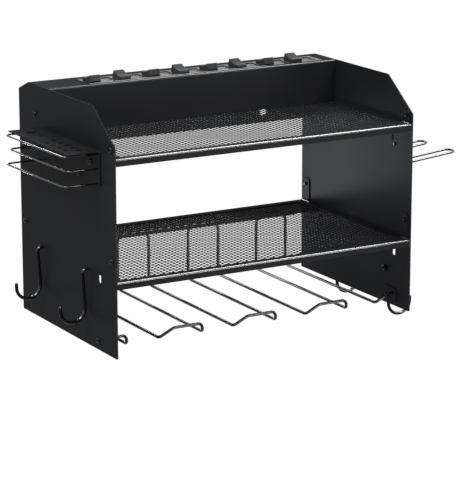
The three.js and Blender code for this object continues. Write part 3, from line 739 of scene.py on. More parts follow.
@dataclass
class Workshop:
    """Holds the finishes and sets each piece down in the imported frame."""

    materials: dict[Finish, Material] = field(default_factory=dict)
    count: int = 0
    softened_angle: ClassVar[float] = math.radians(35)
    degrees_per_strip: ClassVar[float] = 9.0
    dome: ClassVar[tuple[float, ...]] = (75, 60, 45, 30, 15)

    def __post_init__(self) -> None:
        """Build the shared groups and every finish."""
        groups = {
            "soft_mottle": soft_mottle_group(),
            "fine_relief": fine_relief_group(),
            "rim_wear_and_highlight": rim_wear_and_highlight_group(),
        }
        self.materials = {finish.slot: finish.build(groups) for finish in FINISHES}

    def paint(self, piece: Object, finish: Finish) -> None:
        """Give a piece one finish all over."""
        piece.data.materials.clear()
        piece.data.materials.append(self.materials[finish])

    def dress_nodes(self, frame: dict) -> None:
        """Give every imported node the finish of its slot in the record."""
        for subpart in frame["record"]["subparts"]:
            self.paint(frame["nodes"][subpart["node"]], Finish(subpart["material_slot"]))

    def set_down(
        self, bm: BMesh, name: str, node: str, finish: Finish = Finish.COATED, sheet: float = 0.0,
        rim: float = 0.3, body: str = ROOT, smooth: bool = True,
    ) -> None:
        """Turn a mesh in the maker's frame into a finished piece.

        Args:
            bm: The modelled mesh, which is freed.
            name: Name of the piece.
            node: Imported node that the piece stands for.
            finish: Finish of the piece.
            sheet: Thickness that a sheet of no thickness gets, or zero.
            rim: Width of the softened rims, or zero.
            body: Body that the piece rides on.
            smooth: Whether faces are shaded smoothly.
        """
        bmesh.ops.transform(bm, matrix=TO_FRAME, verts=bm.verts)
        for face in bm.faces:
            face.smooth = smooth
        piece = keep_mesh(bm, name)
        if sheet:
            thicken = piece.modifiers.new("sheet", "SOLIDIFY")
            thicken.thickness = sheet * MILLIMETRE
            thicken.offset = 0.0
            thicken.use_even_offset = True
        if rim:
            soften = piece.modifiers.new("rim", "BEVEL")
            soften.width = rim * MILLIMETRE
            soften.segments = 2
            soften.limit_method = "ANGLE"
            soften.angle_limit = self.softened_angle
            soften.use_clamp_overlap = True
            shade = piece.modifiers.new("shade", "WEIGHTED_NORMAL")
            shade.keep_sharp = True
        self.hand_over(piece, node, finish, body)

    def hand_over(self, piece: Object, node: str, finish: Finish, body: str = ROOT) -> None:
        """Paint a piece, set it on its body and let it stand for its node.

        Args:
            piece: The piece, in place.
            node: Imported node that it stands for.
            finish: Its finish.
            body: Body that it rides on.
        """
        self.paint(piece, finish)
        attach(piece, body)
        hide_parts(node)
        self.count += 1
        LOG.info("%s rides on %s for %s", piece.name, body, node)

    def bend_wire(
        self, name: str, node: str, corners: list[Triple], radii: list[float], diameter: float,
        rounded_ends: tuple[bool, bool] = (False, False), gloss: Pair = (0.14, 0.14),
    ) -> None:
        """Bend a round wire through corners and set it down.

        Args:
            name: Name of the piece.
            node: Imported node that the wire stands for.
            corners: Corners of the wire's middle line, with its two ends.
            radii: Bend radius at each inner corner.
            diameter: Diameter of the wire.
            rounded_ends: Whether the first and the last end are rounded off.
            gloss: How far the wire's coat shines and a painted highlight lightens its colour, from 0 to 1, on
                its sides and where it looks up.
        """
        bm = start_mesh()
        verts = [bm.verts.new(corner) for corner in corners]
        for pair in zip(verts, verts[1:]):
            bm.edges.new(pair)
        points = [Vector(corner) for corner in corners]
        for i, radius in enumerate(radii, start=1):
            turn = (points[i] - points[i - 1]).angle(points[i + 1] - points[i])
            strips = max(3, round(math.degrees(turn) / self.degrees_per_strip))
            round_off(bm, [verts[i]], radius * math.tan(turn / 2), strips)
        path = self.walk(bm, points[0])
        bm.free()
        stations = self.with_round_ends(path, diameter / 2, rounded_ends)
        curve = bpy.data.curves.new(name, "CURVE")
        curve.dimensions = "3D"
        curve.bevel_depth = diameter / 2 * MILLIMETRE
        curve.bevel_resolution = 4
        curve.use_fill_caps = True
        spline = curve.splines.new("POLY")
        spline.points.add(len(stations) - 1)
        for point, (place, swell) in zip(spline.points, stations):
            point.co = (*(TO_FRAME @ place), 1.0)
            point.radius = swell
        route = put_in_scene(f"{name}_route", curve)
        mesh = bpy.data.meshes.new_from_object(route.evaluated_get(bpy.context.evaluated_depsgraph_get()))
        bpy.data.objects.remove(route)
        bpy.data.curves.remove(curve)
        mesh.name = name
        # Faces that look up get more gloss and a lighter colour: a painted highlight on the wire's top.
        shine = mesh.attributes.new(GLOSS_AND_HIGHLIGHT_MARK, "FLOAT", "FACE")
        for face, mark in zip(mesh.polygons, shine.data):
            face.use_smooth = len(face.vertices) == 4
            mark.value = gloss[0] + (gloss[1] - gloss[0]) * max(face.normal.z, 0.0)
        self.hand_over(put_in_scene(name, mesh), node, Finish.DIPPED)

    @staticmethod
    def walk(bm: BMesh, start: Vector) -> list[Vector]:
        """Follow a chain of edges from one end to the other.

        Args:
            bm: Mesh that holds nothing but the chain.
            start: Place of the first end.

        Returns:
            The points in order.
        """
        ends = [vert for vert in bm.verts if len(vert.link_edges) == 1]
        vert = min(ends, key=lambda end: (end.co - start).length)
        path, last = [vert.co.copy()], None
        while onward := [edge for edge in vert.link_edges if edge is not last]:
            last = onward[0]
            vert = last.other_vert(vert)
            path.append(vert.co.copy())
        return path

    def with_round_ends(
        self, path: list[Vector], radius: float, rounded: tuple[bool, bool]
    ) -> list[tuple[Vector, float]]:
        """Add a dome's stations at the chosen ends of a path.

        Args:
            path: Points of the path.
            radius: Radius of the wire.
            rounded: Whether the first and the last end get a dome.

        Returns:
            Points with the share of the wire's radius at each.
        """
        stations = [(point, 1.0) for point in path]
        for is_round in rounded:
            if is_round:
                tip = stations[0][0]
                inward = (stations[1][0] - tip).normalized() * radius
                angles = [math.radians(angle) for angle in self.dome]
                dome = [(tip + inward * (1 - math.sin(angle)), math.cos(angle)) for angle in angles]
                stations = [*dome, (tip + inward, 1.0), *stations[1:]]
            stations.reverse()
        return stations


# Cabinet: side panels and screws


@dataclass(frozen=True)
class Cabinet:
    """Sizes that the whole organizer shares, and the places of what goes through more than one piece."""

    width: float = 430.0
    depth: float = 268.0
    height: float = 306.0
    panel: float = 1.5
    sheet: float = 1.2
    seam: float = 0.3
    rear_cut: Pair = (29.0, 12.0)
    lower_level: float = 97.0
    upper_level: float = 250.0
    strip_depth: float = 84.0
    screw_hole: float = 2.3
    front_ear: float = 10.0
    rear_ear: float = 13.0
    upper_ear_screw: float = 9.5
    lower_ear_screw: float = 24.5
    holder_seat: Pair = (-218.0, 12.0)
    strip_seat: Pair = (-48.0, 268.0)
    clamp_seats: tuple[Pair, Pair] = ((-107.5, 89.4), (107.5, 89.4))
    inlet: Pair = (-26.0, 284.0)
    inlet_radius: float = 7.3

    @property
    def span(self) -> float:
        """Length of a shelf between the panels."""
        return self.width - 2 * self.panel - 2 * self.seam

    def seats(self) -> dict[str, Pair]:
        """Find the screws that go through both panels.

        Returns:
            Their (y, z) by the end of their nodes' names.
        """
        upper = self.upper_level + self.upper_ear_screw
        lower = self.lower_level + self.lower_ear_screw
        return {
            "upper_front": (self.front_ear - self.depth, upper),
            "lower_front": (self.front_ear - self.depth, lower),
            "holder": self.holder_seat,
            "strip": self.strip_seat,
            "lower_rear": (-self.rear_ear, lower),
        }

    def bore(self, places: Iterable[Pair]) -> list[Hole]:
        """Return a screw hole at each place."""
        return [RoundHole(u, v, self.screw_hole) for u, v in places]


@dataclass
class SubAssembly:
    """What every sub-assembly knows: the workshop that takes its pieces, and the cabinet's sizes."""

    shop: Workshop
    cabinet: Cabinet


@dataclass
class SidePanels(SubAssembly):
    """The two flat side panels with their chamfered corners, holes and slots.

    Each slot is its inset from the front, its low and high end and its width.
    """

    hooks: JHooks
    rack: ToolRack
    hairpins: HairpinHolder
    chamfer: Pair = (58.0, 43.0)
    corner: float = 1.6
    rim: float = 0.35
    left_slots: tuple = ((44.4, 86.5, 100.5, 7.0),)
    right_slots: tuple = ((37.7, 68.0, 80.0, 7.0), (44.0, 220.5, 231.5, 5.0))
    slot_rounding: float = 0.35

    def build(self) -> None:
        """Cut both panels and set them down."""
        for side in Side:
            self.cut_panel(side)

    def slot(self, inset: float, low: float, high: float, width: float) -> SquareHole:
        """Return a see-through slot with rounded ends."""
        y = inset - self.cabinet.depth
        return SquareHole(y - width / 2, y + width / 2, low, high, width * self.slot_rounding)

    def cut_panel(self, side: Side) -> None:
        """Cut one panel.

        Args:
            side: Which panel.
        """
        cab = self.cabinet
        run, rise = self.chamfer
        rear_run, rear_drop = cab.rear_cut
        outline = [
            (-cab.depth, 0.0), (0.0, 0.0), (0.0, cab.height - rear_drop), (-rear_run, cab.height),
            (run - cab.depth, cab.height), (-cab.depth, cab.height - rise),
        ]
        on_left = side is Side.LEFT
        carried = self.rack if on_left else self.hairpins
        slots = self.left_slots if on_left else self.right_slots
        holes = cab.bore(cab.seats().values())
        holes += [RoundHole(y, z, self.hooks.wire / 2 + cab.seam) for y, z in self.hooks.places(side)]
        holes += cab.bore(carried.screws())
        holes += [self.slot(*sizes) for sizes in slots]
        if side is Side.RIGHT:
            holes.append(RoundHole(*cab.inlet, cab.inlet_radius))
        bm = start_mesh()
        cut_sheet(bm, plane_x(side.value * (cab.width - cab.panel) / 2), outline, holes, self.corner)
        self.shop.set_down(bm, f"{side.key}_panel", f"side_panel_{side.key}", sheet=cab.panel, rim=self.rim)


@dataclass
class Fasteners(SubAssembly):
    """Every button-head screw, with a hexagon socket in its crown.

    The crown's shape is shares of the head's height and radius.
    """

    rack: ToolRack
    hairpins: HairpinHolder
    head_radius: float = 4.0
    head_height: float = 2.3
    crown: tuple[Pair, ...] = ((0.42, 0.95), (0.72, 0.82), (0.92, 0.66), (1.0, 0.52))
    brim: float = 0.25
    shank_radius: float = 2.0
    shank_length: float = 6.0
    shank_chamfer: float = 0.3
    clamp_shank: float = 1.9
    clamp_face: float = -3.0
    socket_radius: float = 1.35
    socket_depth: float = 1.3
    rim: float = 0.12

    def build(self) -> None:
        """Make all the screws, each in its own place."""
        cab = self.cabinet
        flush = cab.width / 2 + cab.seam
        for side in Side:
            for seat, (y, z) in cab.seats().items():
                key = f"{side.key}_{seat}"
                self.make(f"screw_{key}", f"panel_screw_{key}", (side.value * flush, y, z), side.outward)
        for side, plate, piece, node in (
            (Side.LEFT, self.rack, "screw_rack", "rack_screw"),
            (Side.RIGHT, self.hairpins, "screw_side", "side_holder_screw"),
        ):
            x = side.value * (flush + cab.seam + plate.sheet)
            for i, (y, z) in enumerate(plate.screws(), start=1):
                self.make(f"{piece}_{i}", f"{node}_{i}", (x, y, z), side.outward)
        forward = Matrix.Rotation(-math.pi / 2, 4, "Z")
        for i, (x, z) in enumerate(cab.clamp_seats, start=1):
            place = (x, self.clamp_face, z)
            self.make(f"screw_clamp_{i}", f"clamp_screw_{i}", place, forward, self.clamp_shank)

    def make(self, name: str, node: str, place: Triple, turn: Matrix, shank: float = 0.0) -> None:
        """Turn one screw, whose head points along +X before it is placed.

        Args:
            name: Name of the piece.
            node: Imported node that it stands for.
            place: Middle of the head's underside.
            turn: Turn that points the head outwards.
            shank: Length of a shorter shank, or zero.
        """
        tip, top = -(shank or self.shank_length), self.head_height
        profile = [
            (tip, 0.0), (tip, self.shank_radius - self.shank_chamfer),
            (tip + self.shank_chamfer, self.shank_radius), (0.0, self.shank_radius),
            (0.0, self.head_radius - self.brim), (self.brim, self.head_radius),
            *((top * rise, self.head_radius * reach) for rise, reach in self.crown),
        ]
        bm = start_mesh()
        lathe(bm, profile, HOLE_SIDES)
        known = set(bm.edges)
        rim = [edge for edge in bm.edges if all(abs(vert.co.x - top) < TOUCH for vert in edge.verts)]
        bmesh.ops.create_circle(
            bm, cap_ends=False, radius=self.socket_radius, segments=6, matrix=plane_x(top)
        )
        hexagon = new_edges(bm, known)
        fill(bm, rim + hexagon, ALONG_X)
        floor = of_kind(bmesh.ops.extrude_edge_only(bm, edges=hexagon), BMVert)
        bmesh.ops.translate(bm, verts=floor, vec=(-self.socket_depth, 0.0, 0.0))
        bmesh.ops.contextual_create(bm, geom=floor)
        close_up(bm)
        bmesh.ops.transform(bm, matrix=Matrix.Translation(place) @ turn, verts=bm.verts)
        self.shop.set_down(bm, name, node, Finish.FASTENER, rim=self.rim)


# Shelves


@dataclass
class Shelf(SubAssembly):
    """A folded shelf with a lip, a windowed floor, a wall flange and ears, and its perforated floor."""

    name: str
    level: float
    ear_rise: float
    ear_screw: float
    flange_drop: float
    rear_ledge: float
    ear_insets: tuple[float, ...]
    notches: tuple[float, ...] = ()
    flange_holes: tuple[Hole, ...] = ()
    bend: float = 1.4
    lip_drop: float = 9.5
    front_ledge: float = 11.0
    side_ledge: float = 10.0
    window_corner: float = 1.5
    ear_length: float = 17.0
    ear_clear: float = 2.4
    ear_corner: float = 3.0
    ear_relief: float = 0.8
    notch: Pair = (5.6, 5.4)
    mesh_sheet: float = 0.45
    mesh_border: float = 5.0
    mesh_pitch: float = 7.6
    mesh_web: float = 1.75
    mesh_corner: float = 0.8

    def build(self) -> None:
        """Make the folded shelf and its perforated floor."""
        self.fold_shelf()
        self.perforate()

    def side_edge(self, side: Side) -> list[Pair]:
        """Return the floor's edge on one side from front to rear, with ear reliefs and notches.

        Args:
            side: Left or right.

        Returns:
            Corners as (x, y).
        """
        cab = self.cabinet
        outer = cab.span / 2
        tucked = outer - cab.sheet / 2 - self.bend
        steps = [(*self.ear_span(inset), tucked, self.ear_relief) for inset in self.ear_insets]
        if side is Side.LEFT:
            depth, half = self.notch
            steps += [(y - half, y + half, outer - depth, 0.0) for y in self.notches]
        points: list[Pair] = []
        for low, high, reach, relief in sorted(steps):
            points += [(outer, low - relief), (reach, low - relief)]
            if relief:
                points += [(reach, low), (reach, high)]
            points += [(reach, high + relief), (outer, high + relief)]
        return [(side.value * x, y) for x, y in points]

    def ear_span(self, inset: float) -> Pair:
        """Find where an ear starts and ends along Y, clear of the bends at front and rear.

        Args:
            inset: Inset of the ear's screw from the front.

        Returns:
            The ear's two ends.
        """
        cab = self.cabinet
        middle, clear = inset - cab.depth, cab.sheet / 2 + self.bend + self.ear_clear
        low = max(middle - self.ear_length / 2, clear - cab.depth)
        return low, min(middle + self.ear_length / 2, -clear)

    def fold_shelf(self) -> None:
        """Fold the shelf from one sheet."""
        cab = self.cabinet
        half, outer = cab.sheet / 2, cab.span / 2
        floor = self.level - half
        under = floor - self.bend
        front, rear = half + self.bend - cab.depth, -half - self.bend
        left, right = self.side_edge(Side.LEFT), self.side_edge(Side.RIGHT)
        outline = [(-outer, front), (outer, front), *right, (outer, rear), (-outer, rear), *left[::-1]]
        window = SquareHole(
            self.side_ledge - outer, outer - self.side_ledge, self.front_ledge - cab.depth, -self.rear_ledge,
            self.window_corner,
        )
        bm = start_mesh()
        cut_sheet(bm, plane_z(floor), outline, [window])
        lip = fold_across(bm, outer, (front, floor), (front, under), 90)
        draw_out(bm, lip, (0, 0, half + self.bend - self.lip_drop))
        fold_across(bm, outer, (rear, floor), (rear, under), -90)
        flange = rectangle(-outer, outer, self.level - self.flange_drop, under)
        cut_sheet(bm, plane_y(-half), flange, self.flange_holes)
        for side in Side:
            for inset in self.ear_insets:
                self.raise_ear(bm, side, inset, floor)
        close_up(bm)
        self.shop.set_down(bm, f"{self.name}_fold", self.name, sheet=cab.sheet)

    def raise_ear(self, bm: BMesh, side: Side, inset: float, floor: float) -> None:
        """Fold one ear up from the floor's side.

        Args:
            bm: Mesh of the shelf.
            side: Side of the ear.
            inset: Inset of the ear's screw from the front.
            floor: Height of the floor's middle plane.
        """
        cab = self.cabinet
        wall = side.value * (cab.span - cab.sheet) / 2
        x = wall - side.value * self.bend
        low, high = self.ear_span(inset)
        root = edges_along(bm, (x, low, floor), (x, high, floor))
        fold(bm, root, (x, 0, floor + self.bend), ALONG_Y, -90 * side.value)
        foot, top, cut = floor + self.bend, self.level + self.ear_rise, self.ear_corner
        outline = [
            (low, foot), (high, foot), (high, top - cut),
            (high - cut, top), (low + cut, top), (low, top - cut),
        ]
        cut_sheet(bm, plane_x(wall), outline, cab.bore([(inset - cab.depth, self.level + self.ear_screw)]))

    def perforate(self) -> None:
        """Make the perforated floor from one hexagonal cell, repeated and cut straight."""
        cab = self.cabinet
        x1 = cab.span / 2 - self.side_ledge + self.mesh_border
        y0 = self.front_ledge - self.mesh_border - cab.depth
        y1 = self.mesh_border - self.rear_ledge
        pitch, stride = self.mesh_pitch, self.mesh_pitch * math.sqrt(3)
        bm = start_mesh()
        for centre in ((0.0, 0.0), (stride / 2, pitch / 2)):
            self.add_cell(bm, centre)
        self.repeat(bm, Vector((stride, 0.0, 0.0)), math.ceil(2 * x1 / stride) + 2)
        self.repeat(bm, Vector((0.0, pitch, 0.0)), math.ceil((y1 - y0) / pitch) + 2)
        level = self.level - cab.sheet - cab.seam - self.mesh_sheet / 2
        bmesh.ops.translate(bm, verts=bm.verts, vec=(-x1 - stride, y0 - pitch, level))
        for place, normal in (
            ((-x1, 0, 0), (-1, 0, 0)), ((x1, 0, 0), ALONG_X), ((0, y0, 0), (0, -1, 0)), ((0, y1, 0), ALONG_Y)
        ):
            bmesh.ops.bisect_plane(
                bm, geom=everything(bm), plane_co=place, plane_no=normal, clear_outer=True, dist=TOUCH
            )
        name = f"{self.name}_perforated"
        self.shop.set_down(bm, name, f"{self.name}_mesh", sheet=self.mesh_sheet, rim=0.0, smooth=False)

    def add_cell(self, bm: BMesh, centre: Pair) -> None:
        """Add one hexagonal cell round a hexagonal hole with rounded corners.

        Args:
            bm: Mesh that takes the cell.
            centre: Middle of the cell.
        """
        place = Matrix.Translation((*centre, 0.0)) @ Matrix.Rotation(math.pi / 6, 4, "Z")
        known = set(bm.edges)
        for across in (self.mesh_pitch, self.mesh_pitch - self.mesh_web):
            ring = bmesh.ops.create_circle(
                bm, cap_ends=False, radius=across / math.sqrt(3), segments=6, matrix=place
            )
        round_off(bm, ring["verts"], self.mesh_corner, 1)
        bmesh.ops.bridge_loops(bm, edges=new_edges(bm, known))

    @staticmethod
    def repeat(bm: BMesh, step: Vector, count: int) -> None:
        """Repeat all that a mesh holds in a row, by doubling it.

        Args:
            bm: Mesh to repeat.
            step: From one copy to the next.
            count: Copies in the end, the first among them.
        """
        first = everything(bm)
        made = 1
        while made < count:
            doubles = 2 * made <= count
            copied = bmesh.ops.duplicate(bm, geom=everything(bm) if doubles else first)
            bmesh.ops.translate(bm, verts=of_kind(copied, BMVert), vec=step * made)
            made += made if doubles else 1
        bmesh.ops.remove_doubles(bm, verts=bm.verts, dist=TOUCH)


# Charging strip


@dataclass
class ChargingStrip(SubAssembly):
    """The folded housing, the moulded socket panel, the rocker switches and the cord inlet.

    The rocker's side is (y, z) from its pivot, and the bush's profile is (x, radius) from the panel.
    """

    bend: float = 1.8
    # gloss and painted highlight on the housing's front bend
    bend_gloss: float = 0.11
    wall_play: float = 0.1
    wall_foot: float = 1.0
    window_y: Pair = (-81.0, -46.0)
    window_corner: float = 1.2
    window_play: float = 0.4
    outlets: int = 8
    pitch: float = 42.9011
    first: float = -141.986
    before: float = 13.0
    past: float = 15.0
    proud: float = 0.6
    moulding: float = 1.3
    moulding_rim: float = 0.35
    box_depth: float = 32.0
    well: Pair = (8.0, 13.1)
    well_corner: float = 1.4
    well_depth: float = 12.0
    outlet: Pair = (9.0, 14.5)
    outlet_corner: float = 2.4
    outlet_depth: float = 0.9
    blade: Pair = (4.5, 1.1)
    blade_corner: float = 0.4
    blade_offset: float = 6.35
    earth_offset: float = 5.6
    earth_radius: float = 2.7
    opening_depth: float = 2.6
    rocker_half: float = 7.5
    rocker_edge: float = 0.9
    rocker_sharp: float = math.radians(25)
    rocker_rim: float = 0.15
    rocker_side: tuple[Pair, ...] = (
        (-12, 0), (-6.6, -7), (6.6, -7), (12, 0),
        (11.1, 8.3), (5.6, 7.1), (0, 6.7), (-5.6, 7.1), (-11.1, 8.3),
    )
    pin_radius: float = 1.4
    pin_length: float = 2.2
    pin_offset: float = 0.6
    pivot_height: float = 305.1
    tilt: float = math.radians(13)
    bush: tuple[Pair, ...] = (
        (-6.0, 4.3), (-5.7, 9.6), (-5.2, 10.0), (-3.9, 10.0), (-3.6, 9.7), (-3.6, 7.0),
        (0.3, 7.0), (0.3, 9.7), (0.6, 10.0), (2.2, 10.0), (2.7, 9.5), (2.7, 7.6), (3.2, 7.1),
        (4.7, 6.9), (5.1, 6.4), (5.1, 4.4), (4.7, 4.0), (-5.7, 4.0), (-6.0, 4.3),
    )
    bush_steps: int = 36

    @property
    def middle(self) -> float:
        """Middle line of the rockers and outlets along Y."""
        return sum(self.window_y) / 2

    @property
    def window_x(self) -> Pair:
        """Start and end of the housing's window."""
        return self.first - self.before, self.first + (self.outlets - 0.5) * self.pitch + self.past

    def rocker_places(self) -> list[float]:
        """Return the middle of each rocker along X."""
        return [self.first + i * self.pitch for i in range(self.outlets)]

    def build(self) -> None:
        """Make all the pieces of the strip."""
        self.fold_housing()
        self.mould_panel()
        for i, x in enumerate(self.rocker_places()):
            self.make_rocker(i, x)
        self.turn_inlet()

    def fold_housing(self) -> None:
        """Fold the housing and set its end walls in it."""
        cab = self.cabinet
        half, outer = cab.sheet / 2, cab.span / 2
        top, foot = cab.height - half, cab.upper_level + cab.seam
        front, back = half - cab.strip_depth, -cab.seam - half
        run, drop = cab.rear_cut
        slope = math.atan2(drop, run - cab.seam)
        rest = math.pi / 2 - slope
        rear = -run - half
        bend_front, bend_rear = front + self.bend, rear - self.bend * math.tan(slope / 2)
        under = top - self.bend
        bm = start_mesh()
        window = SquareHole(*self.window_x, *self.window_y, self.window_corner)
        cut_sheet(bm, plane_z(top), rectangle(-outer, outer, bend_front, bend_rear), [window])
        bent = fold_across(bm, outer, (bend_front, top), (bend_front, under), 90, self.bend_gloss)
        draw_out(bm, bent, (0, 0, foot - under))
        bent = fold_across(bm, outer, (bend_rear, top), (bend_rear, under), -math.degrees(slope), 0.0)
        lost = self.bend * (math.tan(slope / 2) + math.tan(rest / 2))
        length = math.hypot(back - rear, drop) - lost
        bent = draw_out(bm, bent, (0, length * math.cos(slope), -length * math.sin(slope)))
        end = bent[0].verts[0].co
        pivot = (0, end.y - math.sin(slope) * self.bend, end.z - math.cos(slope) * self.bend)
        bent = fold(bm, bent, pivot, ALONG_X, -math.degrees(rest), 0.0)
        draw_out(bm, bent, (0, 0, foot - bent[0].verts[0].co.z))
        close_up(bm)
        gap = half + self.wall_play
        wall = [
            (front + gap, foot + self.wall_foot), (back - gap, foot + self.wall_foot),
            (back - gap, top - drop - half), (rear, top - gap), (front + gap, top - gap),
        ]
        for side in Side:
            holes = cab.bore([cab.strip_seat])
            if side is Side.RIGHT:
                holes.append(RoundHole(*cab.inlet, cab.inlet_radius))
            cut_sheet(bm, plane_x(side.value * (outer - half - cab.seam)), wall, holes)
        self.shop.set_down(bm, "strip_fold", "strip_housing", sheet=cab.sheet)

    def mould_panel(self) -> None:
        """Mould the socket panel: a face with wells and outlets over an open box."""
        half = self.moulding / 2
        skin = self.cabinet.height + self.proud - half
        (x0, x1), (y0, y1) = self.window_x, self.window_y
        inset = self.window_play + half
        holes = []
        for x in self.rocker_places():
            well = (self.well[0] + half, self.well[1] + half)
            holes.append(SquareHole.about(x, self.middle, well, self.well_corner))
            holes.append(SquareHole.about(x + self.pitch / 2, self.middle, self.outlet, self.outlet_corner))
        bm = start_mesh()
        outline = rectangle(x0 + inset, x1 - inset, y0 + inset, y1 - inset)
        cut_sheet(bm, plane_z(skin), outline, holes, self.window_corner)
        rims: dict[Rim, list[BMEdge]] = {kind: [] for kind in Rim}
        for edge in bm.edges:
            if edge.is_boundary:
                rims[self.rim_kind(edge)].append(edge)
        draw_out(bm, rims[Rim.OUTER], (0, 0, half - self.box_depth - self.proud))
        draw_out(bm, rims[Rim.WELL], (0, 0, -self.well_depth))
        self.sink_outlets(bm, rims[Rim.OUTLET], skin)
        close_up(bm)
        self.shop.set_down(
            bm, "socket_moulding", "socket_panel", Finish.MOULDED, sheet=self.moulding, rim=self.moulding_rim
        )

    def rim_kind(self, edge: BMEdge) -> Rim:
        """Tell what an open edge of the face belongs to.

        Args:
            edge: The edge.

        Returns:
            The kind of its rim.
        """
        point, half = middle_of(edge), self.moulding / 2
        off_line = abs(point.y - self.middle)
        for x in self.rocker_places():
            if abs(point.x - x) < self.well[0] + self.moulding and off_line < self.well[1] + self.moulding:
                return Rim.WELL
            if abs(point.x - x - self.pitch / 2) < self.outlet[0] + half and off_line < self.outlet[1] + half:
                return Rim.OUTLET
        return Rim.OUTER

    def sink_outlets(self, bm: BMesh, rims: list[BMEdge], skin: float) -> None:
        """Sink each outlet's face a little and cut its blade and earth openings.

        Args:
            bm: Mesh of the moulding.
            rims: Rims of all the outlets.
            skin: Height of the face's middle plane.
        """
        lowered = draw_out(bm, rims, (0, 0, -self.outlet_depth))
        plane = plane_z(skin - self.outlet_depth)
        for x in self.rocker_places():
            at = x + self.pitch / 2
            own = [edge for edge in lowered if abs(middle_of(edge).x - at) < self.pitch / 4]
            known = set(bm.edges)
            for offset in (-self.blade_offset, self.blade_offset):
                SquareHole.about(at, self.middle + offset, self.blade, self.blade_corner).cut(bm, plane)
            RoundHole(at + self.earth_offset, self.middle, self.earth_radius).cut(bm, plane)
            openings = new_edges(bm, known)
            fill(bm, own + openings, ALONG_Z)
            draw_out(bm, openings, (0, 0, -self.opening_depth))

    def make_rocker(self, index: int, x: float) -> None:
        """Make one rocker with its two pins, on its own body.

        Args:
            index: Its place in the row, from zero.
            x: Its middle along X.
        """
        half = self.rocker_half
        bm = start_mesh()
        side = bm.faces.new([bm.verts.new((-half, y, z)) for y, z in self.rocker_side])
        drawn = bmesh.ops.extrude_face_region(bm, geom=[side])
        bmesh.ops.translate(bm, verts=of_kind(drawn, BMVert), vec=(2 * half, 0, 0))
        close_up(bm)
        sharp = [edge for edge in bm.edges if edge.calc_face_angle(0) > self.rocker_sharp]
        round_off(bm, sharp, self.rocker_edge, 3, "EDGES")
        for sign in (-1, 1):
            place = Matrix.Translation((sign * (half + self.pin_offset), 0, 0))
            bmesh.ops.create_cone(
                bm, cap_ends=True, segments=16, radius1=self.pin_radius, radius2=self.pin_radius,
                depth=self.pin_length, matrix=place @ Matrix.Rotation(math.pi / 2, 4, "Y"),
            )
        turn = Matrix.Rotation(self.tilt if index % 2 else -self.tilt, 4, "X")
        place = Matrix.Translation((x, self.middle, self.pivot_height)) @ turn
        bmesh.ops.transform(bm, matrix=place, verts=bm.verts)
        body = f"rocker_{index + 1}"
        self.shop.set_down(bm, f"rocker_cap_{index + 1}", body, Finish.ROCKER, rim=self.rocker_rim, body=body)

    def turn_inlet(self) -> None:
        """Turn the cord inlet with its flange, ribs and bore."""
        bm = start_mesh()
        lathe(bm, self.bush, self.bush_steps)
        bmesh.ops.translate(bm, verts=bm.verts, vec=(self.cabinet.width / 2, *self.cabinet.inlet))
        self.shop.set_down(bm, "cord_inlet_bush", "cord_gland", Finish.RUBBER, rim=0.0)


# Wire holder, hooks, rack and hairpins


